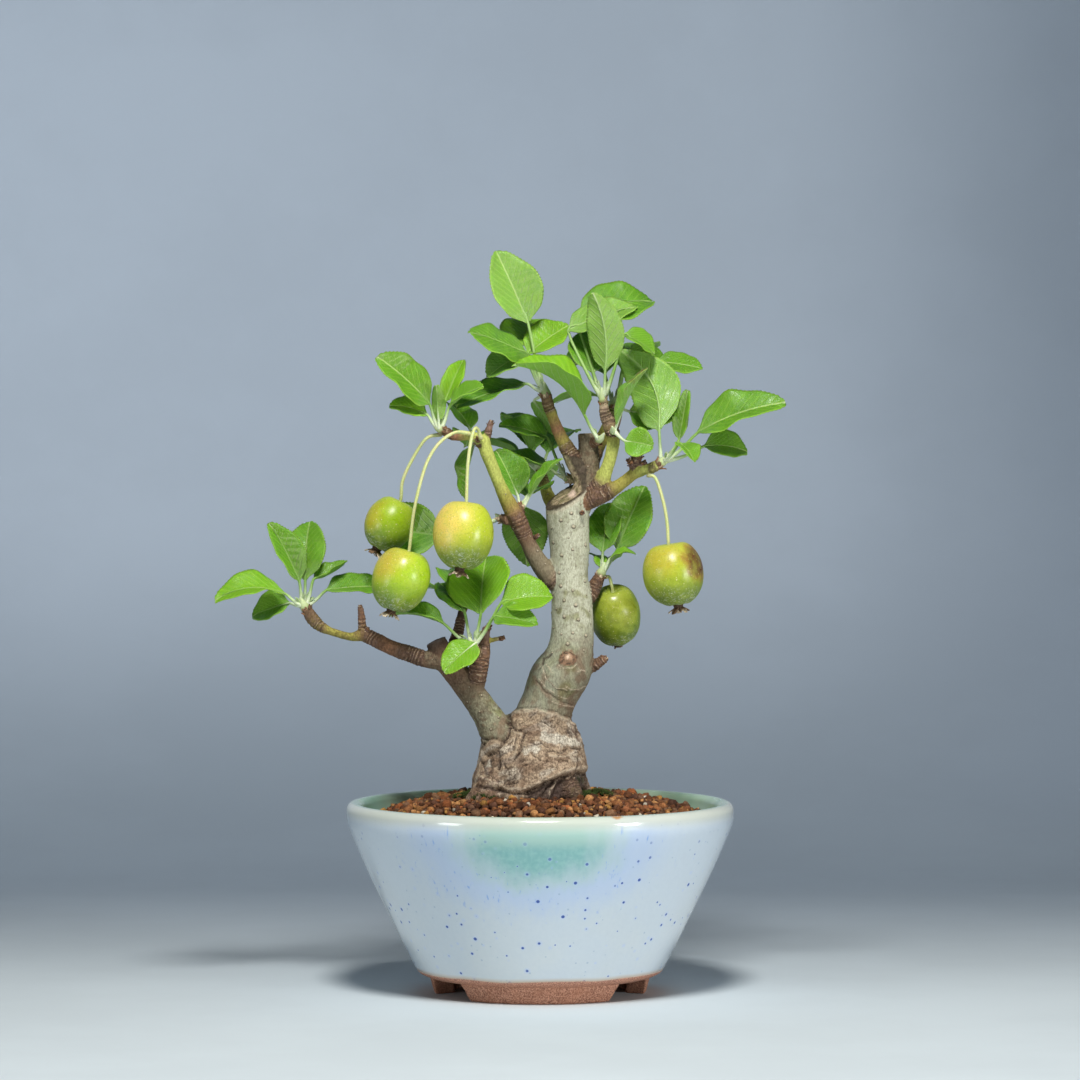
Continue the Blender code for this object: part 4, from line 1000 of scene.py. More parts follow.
def scatter_pores(tree_points):
    """Picks points of the smooth bark, no two near each other, for its raised pores."""
    draw = random.Random(PORES_SEED)
    order = list(range(len(tree_points)))
    draw.shuffle(order)
    chosen = []
    for index in order:
        place, limb, part = tree_points[index]
        on_trunk = limb == "trunk" and 112 < place.z < 165
        on_branch = limb in ("left_branch", "leader_stub", "second_trunk",
                             "back_branch") and 0.1 < part < 0.95
        space = draw.uniform(3.8, 7.6) if on_trunk else draw.uniform(4.2, 7.6)
        if (on_trunk or on_branch) and all((place - other[0]).length > space for other in chosen):
            chosen.append((place, draw.uniform(0.24, 0.52) if on_trunk else draw.uniform(0.18, 0.34)))
        if len(chosen) == PORE_COUNT:
            break
    return chosen


def trunk_age(place, limb, part):
    """1 on the old corky burl and the roots, 0 on smooth bark, with a ragged edge between."""
    if limb in ROOTS:
        return 1
    if limb == "trunk" or (limb == "second_trunk" and part < 0.4):
        ragged = 0.9 * noise(place / 1.6) + 0.5 * noise(place / 4)
        return step_up(height_over(LIP_LINE, place.x) + ragged - place.z, -0.5, 0.7)
    return 0


def old_bark(place, colour, old):
    """Corky bark: low swells, slanting scaly wrinkles and patches of ash, brown and rust."""
    along, across = place.x * 0.94 + place.z * 0.34, place.z * 0.94 - place.x * 0.34
    drawn = Vector((along / 5, place.y / 3, across / 1.5))
    coarse = noise(place / 5)
    split = abs(noise(drawn + Vector((4, 1, 7))))
    scale = abs(noise(Vector((along / 2.2, place.y / 1.4, across / 0.9)) + Vector((9, 3, 2))))
    broken = step_up(noise(place / 4 + Vector((1, 8, 4))), -0.2, 0.2)
    fissure = step_up(0.1 - split, 0, 0.1) * broken
    swell = 0.4 * noise(place / 9) + 0.3 * noise(place / 4)
    push = old * (swell - 0.45 * fissure + 0.3 * (0.25 - scale) + 0.12 * noise(place / 0.9))
    colour = mixed(colour, "ash", old * step_up(noise(drawn * 0.7), 0.05, 0.4) * 0.7)
    colour = mixed(colour, "brown", old * step_up(-coarse, 0.05, 0.45) * 0.65)
    colour = mixed(colour, "umber",
                   old * step_up(noise(place / 2.6 + Vector((7, 7, 1))), 0.22, 0.5) * 0.55)
    # Painted shade in part: the fissures and the valleys of the scaly wrinkles are painted umber, as
    # darker inner bark and as the shade that falls in them.
    colour = mixed(colour, "umber", old * (0.75 * fissure + 0.45 * step_up(0.07 - scale, 0, 0.07)))
    if place.y < 4:
        flat = np.array((place.x, place.z))
        for spot, run, half in ASH_PATCHES:
            part = float(np.clip((flat - spot) @ np.array(run) / (np.array(run) @ run), -1.0, 1.0))
            gap = float(np.linalg.norm(flat - spot - part * np.array(run))) + 1.3 * noise(place / 1.6)
            colour = mixed(colour, (0.62, 0.58, 0.49), 0.85 * old * step_up(half - gap, -0.3, 1))
        # Painted shade: the hollow under the root arch is pushed in and painted near black.
        under = step_up(height_over(ARCH_LINE, place.x) - place.z, 0.2, 1.3) * step_up(place.x, -7, -3)
        under *= step_up(-place.y, -4, 2)
        push -= 1.6 * under
        colour = mixed(colour, (0.06, 0.036, 0.032), 0.85 * under)
        green = under * step_up(place.x, 7, 11) * step_up(noise(place / 1.8) + 0.15, -0.1, 0.3)
        colour = mixed(colour, (0.045, 0.062, 0.016), 0.7 * green)
    return push, colour


def young_trunk(place, colour):
    """The bend above the burl: grey-green on its left, browner on its right, with brown bands."""
    low = step_up(124 - place.z, 0, 14)
    side = max(step_up(place.x - 0.5 * (place.z - 100), 2, 9), step_up(96 - place.z, 0, 6))
    patch = noise(place / 3 + Vector((3, 3, 3)))
    colour = mixed(colour, (0.3, 0.315, 0.235), 0.75 * low)
    colour = mixed(colour, "drab", low * (0.15 + 0.6 * side))
    colour = mixed(colour, "brown", 0.55 * low * step_up(patch + 0.4 * side, 0.1, 0.45))
    band = abs(place.z - height_over(BROWN_BAND, place.x) + 0.8 * noise(place / 1.5))
    colour = mixed(colour, (0.215, 0.15, 0.098),
                   0.8 * low * step_up(2 - band, 0, 1.4) * step_up(-place.y, -3, 0))
    colour = mixed(colour, "moss", 0.45 * low * step_up(noise(place / 6), 0.15, 0.5))
    above = step_up(place.z, 118, 128) * step_up(148 - place.z, 0, 14)
    colour = mixed(colour, (0.2, 0.2, 0.075), 0.75 * above * step_up(patch, 0.12, 0.42))
    shadow = step_up(noise(Vector((place.x, place.y, place.z * 0.45)) / 1.9), 0.05, 0.45)
    return mixed(colour, "sage", 0.55 * shadow)


def bark_layers(place, normal, limb, part, along, marks):
    """At one point: the push in mm, the tint, the grain's roughness and the rings' strength."""
    names, rings = LIMB_BARK.get(limb, PLAIN_BARK)
    old = trunk_age(place, limb, part)
    colour = tint_along(names, part) if limb not in ROOTS else list(BARK["tan"])
    fine = noise(place / 1.3)
    coarse = noise(place / 5)
    push, rough, ringed = marks, 0.3, 0
    young = 1 - old
    push += young * (0.09 * fine + 0.12 * coarse)
    if limb in ("trunk", "front_knob") and old < 1 and place.z > 85:
        colour = mixed(young_trunk(place, colour), BARK["tan"], old)
    if limb in ("second_trunk", "low_branch", "leader_stub"):
        colour = mixed(colour, "brown", 0.55 * step_up(fine, 0.05, 0.5))
        colour = mixed(colour, "umber", 0.35 * step_up(coarse, 0, 0.4))
        # Painted light: faces turned up and to the right are tinted a lighter olive, where the light
        # falls on them.
        lit = step_up(normal.x * 0.7 + normal.z * 0.6, 0.15, 0.8) * step_up(noise(place / 3.4), -0.2, 0.3)
        colour = mixed(colour, (0.25, 0.27, 0.11), 0.6 * lit * step_up(106 - place.z, 0, 6))
        rough = 0.7
    if old > 0:
        lift, colour = old_bark(place, colour, old)
        push += lift
        rough = max(rough, 0.3 + 0.7 * old)
    for start, end in rings:
        inside = step_up(part, start, start + 0.04) * step_up(end - part, 0, 0.04)
        if inside > 0:
            ring = math.cos(along * math.tau / RING_SPACING)
            push += inside * (0.16 + 0.1 * ring + 0.12 * noise(place / 0.9))
            colour = mixed(colour, "brown", inside * 0.55)
            colour = mixed(colour, "plum", inside * 0.5 * step_up(noise(place / 1.1), 0, 0.4))
            rough = max(rough, 0.8 * inside)
            ringed = max(ringed, inside)
    return push, colour, rough, ringed


# %% Ends of the limbs: the pruned top, the stubs and the knob
CUT_ENDS = {"cut_stub": ("dark", "umber"), "right_nub": ("rust", "cream"), "spur_twig": ("rust", "cream")}
KNOB = Vector((9.2, 112))
CALLUS = Vector((10.6, 0, 166.6))


def cut_colour(place, colour):
    """The pruned top: a thin dark rim, narrow stripes of tan and olive wood and a pink callus."""
    point, slant = TOP_CUT
    depth = (place - point).dot(slant)
    spread = (place - point - slant * depth).length
    face = step_up(depth, -0.55, -0.25)
    stripe = noise(Vector((place.x * 0.16, place.y * 0.9 + 3, place.z * 0.3)) * 1.5)
    wood = mixed((0.36, 0.29, 0.18), (0.17, 0.15, 0.075), step_up(stripe, -0.25, 0.25))
    wood = mixed(wood, "umber", 0.8 * step_up(noise(place / 0.9), 0.15, 0.45))
    wood = mixed(wood, (0.52, 0.4, 0.28), 0.7 * step_up(abs(stripe), 0.3, 0.5))
    wood = mixed(wood, "dark", step_up(spread, 5.8, 6.7) * 0.85)
    pale = (Vector((place.x, place.z)) - Vector((CALLUS.x, CALLUS.z))).length + 0.5 * noise(place / 0.8)
    wood = mixed(wood, (0.74, 0.56, 0.47), 0.9 * step_up(1.7 - pale, 0, 0.9) * step_up(-place.y, -2, 1))
    colour = mixed(colour, wood, face)
    collar = step_up(depth + 0.4 * noise(place / 1.2), -2, -1) * (1 - face)
    colour = mixed(colour, "tan", 0.35 * collar)
    return mixed(colour, "dark",
                 0.7 * step_up(depth + 0.3 * noise(place / 0.8), -0.75, -0.5) * (1 - face))


def end_colours(place, limb, part, colour):
    """Weathered wood on the pruned ends, and scaly brown bark with painted shade round the raised knob.
    """
    if limb == "trunk" and place.z > 155:
        return cut_colour(place, colour)
    if limb in ("trunk", "front_knob") and place.y < -2:
        away = Vector((place.x, (place.z + 0.2) * 1.15)) - Vector((KNOB.x, (KNOB.y + 0.2) * 1.15))
        reach = away.length + 0.75 * noise(place / 1.1) + 0.3 * noise(place / 0.5)
        # Near-black and brown round the knob: scaly bark, with painted shade round the knob's raised
        # edge.
        bark = mixed(BARK["dark"], (0.24, 0.135, 0.08), step_up(noise(place / 0.7), -0.45, 0.15))
        colour = mixed(colour, bark, 0.95 * step_up(3.3 - reach, 0, 0.5))
        heart = (away - Vector((0.2, 0.6))).length + 0.7 * noise(place / 0.8)
        colour = mixed(colour, (0.42, 0.27, 0.17), step_up(1.7 - heart, 0, 0.8))
        colour = mixed(colour, (0.66, 0.52, 0.38), step_up(0.9 - heart, 0, 0.6))
    if limb in CUT_ENDS and part > 0.985:
        edge, heart = CUT_ENDS[limb]
        end = Vector(ALL_LIMBS[limb][-1][:3])
        reach = (place - end).length / ALL_LIMBS[limb][-1][3]
        colour = mixed(BARK[heart], BARK[edge], step_up(reach + 0.2 * noise(place / 0.7), 0.3, 0.8))
    return colour


# %% Roughen and tint the skin
def dress_bark(bm):
    """Moves and tints every point, and keeps its distances to creases, ridges, rings and pores."""
    bm.normal_update()
    places = np.array([v.co[:] for v in bm.verts])
    measured = nearest_limb(places)
    limbs = [LIMB_NAMES[int(i)] for i in measured[:, 0]]
    # The clock sets where noise_vector starts, so creases and rings shift a little from run to run.
    wander = np.array([noise_vector(v.co / 2.2)[:] for v in bm.verts])
    creases, ridges, deep, lifts = measure_marks(places, limbs, wander)
    known = zip(bm.verts, limbs, measured[:, 1])
    pores = scatter_pores([(v.co.copy(), limb, part) for v, limb, part in known])
    centres = np.array([place[:] for place, _ in pores])
    tint = bm.verts.layers.float_color.new("tint")
    marks, rings, pore = (bm.verts.layers.float_vector.new(name) for name in ("marks", "rings", "pore"))
    moves = []
    for i, (v, limb) in enumerate(zip(bm.verts, limbs)):
        _, part, along, _ = measured[i]
        away = places[i] - centres
        nearest = int((away ** 2).sum(axis=1).argmin())
        offset = away[nearest] / pores[nearest][1]
        push, colour, rough, ringed = bark_layers(v.co, v.normal, limb, part, along, lifts[i])
        push += 0.22 * math.exp(-float(offset @ offset))
        v[tint] = (*end_colours(v.co, limb, part, colour), rough)
        v[marks] = (creases[i], ridges[i], deep[i])
        uneven = noise(Vector((along / 2.4, measured[i][0] * 3.7, 0.5)))
        present = step_up(noise(Vector((along / 1.9, measured[i][0] * 5.3, 4.5))), -0.3, 0.15)
        v[rings] = ((along + 0.45 * wander[i][0]) / RING_SPACING + 0.9 * uneven, ringed * present, 0)
        v[pore] = offset
        moves.append(v.normal * push)
    for v, move in zip(bm.verts, moves):
        v.co += move
    print("bark: pores", len(pores), "creases", len(CREASES), "ridges", len(RIDGES))


# %% Bark finish
def bark_finish():
    finish, tree, shader = start_finish("bark_skin", 0.8, Specular_IOR_Level=0.3)
    tinted = painted(tree, "tint")
    tint, rough = tinted["Color"], tinted["Alpha"]
    place = pot_space(tree)
    drawn = stretched(place, (1, 1, 0.5))
    grain = mottle(drawn, 1 / 0.55, 4, 0.65)
    flecks = mottle(place, 1 / 0.8, 2)
    shade = blend(ramp(grain, 0.3, 0.7), (0.52, 0.48, 0.44), (1.34, 1.33, 1.3))
    shade = blend(rough * 0.5 + 0.45, (1, 1, 1), shade)
    colour = blend(1, tint, shade, "MULTIPLY")
    speck = ramp(mottle(drawn, 1 / 0.36, 2), 0.6, 0.7, 0, 0.4)
    colour = blend(speck, colour, (0.1, 0.085, 0.055))
    dark = ramp(flecks, 0.6, 0.7, 0, 0.5) * rough
    colour = blend(dark, colour, (0.045, 0.028, 0.02))
    flat = stretched(place, (1, 1, 2.2))
    crack = abs(mottle(flat, 1 / 2, 4, 0.6, 0.4) - 0.5)
    crack = ramp(crack, 0, 0.022, 1, 0) * ramp(rough, 0.4, 0.9, 0, 0.5)
    # Painted shade in part: fine cracks are painted near black, as the shade inside them and as darker
    # bark.
    colour = blend(crack, colour, (0.05, 0.031, 0.022))

    crease, ridge, depth = add(tree, "SeparateXYZ", {0: painted(tree, "marks")["Vector"]})
    turn, ringed, _ = add(tree, "SeparateXYZ", {0: painted(tree, "rings")["Vector"]})
    # Painted highlight in part: ridge crests are painted pale, as light catching them and as paler worn
    # bark.
    pale = ramp(ridge, 0.2, 0.9, 1, 0) * ramp(flecks, 0.38, 0.56, 0.15, 0.75)
    colour = blend(pale, colour, (0.54, 0.44, 0.32))
    # Painted shade in part: creases are painted near black, darker where the crease is deeper.
    deep = ramp(crease, 0.15, 1.15, 1, 0) * ramp(flecks, 0.36, 0.55, 0.35, 1)
    deep = deep * depth
    colour = blend(deep, colour, (0.048, 0.029, 0.02))
    wave = (turn * math.tau).step("COSINE")
    # Painted shade in the ring grooves, and painted highlight on the ring crests along with the scales'
    # own pale edges.
    groove_shade = ramp(wave, -0.95, -0.35, 1, 0) * (ringed * ramp(grain, 0.3, 0.6, 0.45, 0.9))
    colour = blend(groove_shade, colour, (0.06, 0.034, 0.022))
    scale_edge_highlight = ramp(wave, 0.72, 0.98) * (ringed * ramp(flecks, 0.44, 0.6, 0, 0.6))
    colour = blend(scale_edge_highlight, colour, (0.56, 0.45, 0.31))

    offset = painted(tree, "pore")["Vector"]
    reach = length_of(offset)
    reach = reach + grain * 0.8 - 0.4
    low = add(tree, "SeparateXYZ", {0: offset})[2]
    # Painted shadow: the bark under each raised pore is painted dark, most of all on its lower side.
    under = ramp(reach, 1.3, 2, 1, 0) * ramp(low, -0.9, 0, 0.8, 0.25)
    colour = blend(under, colour, (0.075, 0.05, 0.034))
    core = ramp(reach, 0.7, 1.15, 1, 0)
    colour = blend(core * ramp(flecks, 0.35, 0.55, 0.45, 0.85), colour, (0.56, 0.48, 0.34))
    lead(colour, shader)
    lead(ramp(grain, 0.2, 0.8, 0.88, 0.6), shader, "Roughness")
    height = grain * (rough * 0.8 + 0.2)
    height = height - crack.step("MAXIMUM", deep) * 0.8
    height = height + wave * ringed * 0.35
    relief(shader, core * 1.1 + height, 0.26)
    return finish


wood = build_wood()
print("skin of the wood:", len(wood.verts), "points")
dress_bark(wood)
keep_piece("wood_bark", wood, [bark_finish()], ["tree_wood"])

# %% [markdown]
# ## Clay grains
# The soil is fired clay sieved to 2 to 5 mm, with a few white pumice bits. A dark bed fills the gaps,
# and some two thousand grains lie on it. A grain is a small cube with its edges bevelled away,
# squashed, dented and turned at random, so it has a crumb's corners with only a few dozen faces.
# Each gets one tint of its own, because a sack of grains is never one colour, and the draw is
# seeded so that every run lays the same grains.

# %% The lie of the soil
SOIL_TOP = [(0, 67.2), (16, 66.6), (32, 65.8), (46, 62.8), (56.6, 58.6)]
SOIL_EDGE = 56.3
BED_DEPTH = 1.7
BED_FLOOR = 54
GRAIN_COUNT = 3600
GRAIN_SIZES = (0.8, 2)
GRAIN_SEED = 21
GRAIN_TINTS = [
    (0.115, 0.045, 0.02), (0.16, 0.062, 0.026), (0.22, 0.09, 0.036), (0.3, 0.125, 0.048),
    (0.42, 0.19, 0.065), (0.52, 0.26, 0.1), (0.24, 0.13, 0.07), (0.085, 0.038, 0.022), (0.19, 0.1, 0.058),
    (0.34, 0.115, 0.04), (0.46, 0.24, 0.065), (0.27, 0.105, 0.045), (0.13, 0.058, 0.034),
]
PUMICE_TINT = (0.72, 0.66, 0.54)


def soil_height(radius):
    """The height of the mound at this distance from the pot's axis."""
    for (r0, z0), (r1, z1) in zip(SOIL_TOP, SOIL_TOP[1:]):
        if radius <= r1:
            return z0 + (z1 - z0) * (radius - r0) / (r1 - r0)
    return SOIL_TOP[-1][1]


def build_bed():
    """A dark mound just under the grains, closed below; its near-black colour is partly painted shade for
    the gaps between grains.
    """
    bm = bmesh.new()
    rings = [0, *(SOIL_EDGE * i / 14 for i in range(1, 15))]
    profile = [(r, soil_height(r) - BED_DEPTH) for r in rings]
    profile += [(SOIL_EDGE - 1.4, BED_FLOOR), (0, BED_FLOOR)]
    spun(bm, profile, 96)
    for v in bm.verts:
        if v.co.z > BED_FLOOR + 0.5:
            v.co.z += 0.8 * noise(v.co / 3)
    return bm


def bed_finish():
    finish, tree, shader = start_finish("dark_bed", 0.95, Specular_IOR_Level=0.1)
    place = pot_space(tree)
    crumb = mottle(place, 1 / 1.1, 3)
    # Near black: partly the deeper soil and partly painted shade between the grains.
    lead(blend(ramp(crumb, 0.35, 0.7), (0.02, 0.01, 0.006), (0.085, 0.04, 0.022)), shader)
    relief(shader, crumb, 0.5)
    return finish


keep_piece("soil_bed", build_bed(), [bed_finish()], ["soil"])


# %% Scatter the grains
INNER_RIM = 58.2


def rim_gap(x, y):
    """How far a place is inside the pot's inner wall."""
    return INNER_RIM - math.hypot(x, y)


def grain_places(draw, count):
    """Places on the mound with sizes, kept out of the wood and from standing in one another."""
    chosen, cells = [], {}
    tries = 0
    while len(chosen) < count and tries < count * 30:
        tries += 1
        radius = SOIL_EDGE * math.sqrt(draw.random())
        angle = draw.uniform(0, math.tau)
        x, y = radius * math.cos(angle), radius * math.sin(angle)
        size = GRAIN_SIZES[0] + (GRAIN_SIZES[1] - GRAIN_SIZES[0]) * draw.random() ** 1.6
        if rim_gap(x, y) < size:
            continue
        z = soil_height(radius) - 0.7 + draw.uniform(-0.9, 0.75) * size * 0.6
        cell = (int(x // 5), int(y // 5))
        near = [p for i in (-1, 0, 1) for j in (-1, 0, 1)
                for p in cells.get((cell[0] + i, cell[1] + j), [])]
        if any(math.dist((x, y, z), p[:3]) < 0.8 * (size + p[3]) for p in near):
            continue
        cells.setdefault(cell, []).append((x, y, z, size))
        chosen.append((x, y, z, size))
    places = np.array([p[:3] for p in chosen])
    clear = nearest_limb(places)[:, 3] > np.array([p[3] for p in chosen]) * 0.35
    return [p for p, free in zip(chosen, clear) if free]


def template(shape):
    """Keeps one small shape as a mesh, to be laid down many times."""
    mesh = bpy.data.meshes.new("template")
    shape.to_mesh(mesh)
    shape.free()
    return mesh


def lay_down(bm, mesh):
    """Adds a copy of a template and returns its own points."""
    bm.from_mesh(mesh)
    bm.verts.ensure_lookup_table()
    return bm.verts[-len(mesh.vertices):]


def build_grains():
    draw = random.Random(GRAIN_SEED)
    places = grain_places(draw, GRAIN_COUNT)
    cube = bmesh.new()
    bmesh.ops.create_cube(cube, size=1.62)
    bmesh.ops.bevel(cube, geom=cube.edges[:], offset=0.36, segments=1, affect="EDGES")
    crumb = template(cube)
    bm, tint = tinted_bmesh()
    for x, y, z, size in places:
        grain = lay_down(bm, crumb)
        pumice = draw.random() < 0.018
        base = PUMICE_TINT if pumice else draw.choice(GRAIN_TINTS)
        shade = draw.uniform(0.52, 1.1)
        offset = Vector((draw.uniform(0, 99), draw.uniform(0, 99), draw.uniform(0, 99)))
        squash = Vector((draw.uniform(0.85, 1.2), draw.uniform(0.75, 1.05), draw.uniform(0.65, 0.95)))
        turn = Matrix.Rotation(draw.uniform(0, math.tau), 3,
                               Vector((draw.uniform(-1, 1), draw.uniform(-1, 1), 0.5)).normalized())
        for v in grain:
            dent = 1 + 0.4 * noise(v.co * 1.3 + offset) + 0.16 * noise(v.co * 3.1 + offset)
            v.co = Vector((x, y, z)) + turn @ (v.co * squash) * (size * dent)
            mottled = shade * (1 + 0.35 * noise(v.co / 0.9))
            v[tint] = (*(min(1, c * mottled) for c in base), 1)
    bpy.data.meshes.remove(crumb)
    print("grains:", len(places))
    return bm


def grain_finish():
    finish, tree, shader = start_finish("fired_clay_grain", 0.88, Specular_IOR_Level=0.25)
    tint = painted(tree, "tint")["Color"]
    place = pot_space(tree)
    dust = mottle(place, 1 / 0.5, 4, 0.65)
    colour = blend(1, tint, blend(ramp(dust, 0.3, 0.7), (0.6, 0.55, 0.5), (1.3, 1.3, 1.3)), "MULTIPLY")
    lead(colour, shader)
    relief(shader, dust, 0.25)
    return finish


keep_piece("clay_grains", build_grains(), [grain_finish()])

# %% [markdown]
# ## Moss
# A little dark moss creeps out from under the trunk on both sides. Each tuft is a bundle of short
# tapering leaves. They start as cones with three sides and are thrown over the soil near the roots.

# %% Moss tufts
MOSS_SPOTS = [((-23.5, -9), 6.5, 150), ((-19, -16), 4, 60), ((19.5, -3), 5.2, 130), ((15, -13), 4, 110),
              ((-14, 18), 6, 80), ((12, 14), 5, 60)]
MOSS_SEED = 8


def build_moss():
    draw = random.Random(MOSS_SEED)
    cone = bmesh.new()
    bmesh.ops.create_cone(cone, cap_ends=True, segments=3, radius1=0.16, radius2=0.03, depth=1.5)
    sprig = template(cone)
    bm, tint = tinted_bmesh()
    for (cx, cy), reach, count in MOSS_SPOTS:
        for _ in range(count):
            away = reach * math.sqrt(draw.random())
            angle = draw.uniform(0, math.tau)
            x, y = cx + away * math.cos(angle), cy + away * math.sin(angle) * 0.8
            z = soil_height(math.hypot(x, y)) - 0.4 + 1.6 * (1 - away / reach)
            lean = Vector((draw.uniform(-0.7, 0.7), draw.uniform(-0.7, 0.7), 1)).normalized()
            for _ in range(5):
                blade = lay_down(bm, sprig)
                tip = (lean + Vector((draw.uniform(-0.6, 0.6), draw.uniform(-0.6, 0.6),
                                      draw.uniform(-0.2, 0.4)))).normalized()
                turn = Vector((0, 0, 1)).rotation_difference(tip).to_matrix()
                deep = draw.uniform(0.6, 1.2)
                for v in blade:
                    high = v.co.z + 0.75
                    v.co = Vector((x, y, z)) + turn @ (v.co + Vector((0, 0, 0.6)))
                    # Painted shade: each blade darkens towards its foot, down among the tuft.
                    shade = deep * (0.35 + 0.65 * high / 1.5)
                    v[tint] = (0.055 * shade, 0.085 * shade, 0.018 * shade, 1)
    bpy.data.meshes.remove(sprig)
    return bm


def moss_finish():
    finish, tree, shader = start_finish("moss", 0.8, Specular_IOR_Level=0.2)
    tint = painted(tree, "tint")["Color"]
    place = pot_space(tree)
    patch = mottle(place, 1 / 2.5)
    colour = blend(ramp(patch, 0.35, 0.65), tint, (0.03, 0.05, 0.012))
    lead(blend(0.5, tint, colour), shader)
    return finish


keep_piece("moss_tufts", build_moss(), [moss_finish()])

# %% [markdown]
# ## Leaves
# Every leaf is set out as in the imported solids: the heading and rise of its midrib, the size of its
# blade, how it rolls, arches, folds and curves, and its stalk. The blade starts as a grid. Its
# points are laid along the arched midrib, drawn in to the outline, notched with fine forward teeth
# and raised a little between the side veins. Solidify then gives it a real leaf's thickness.

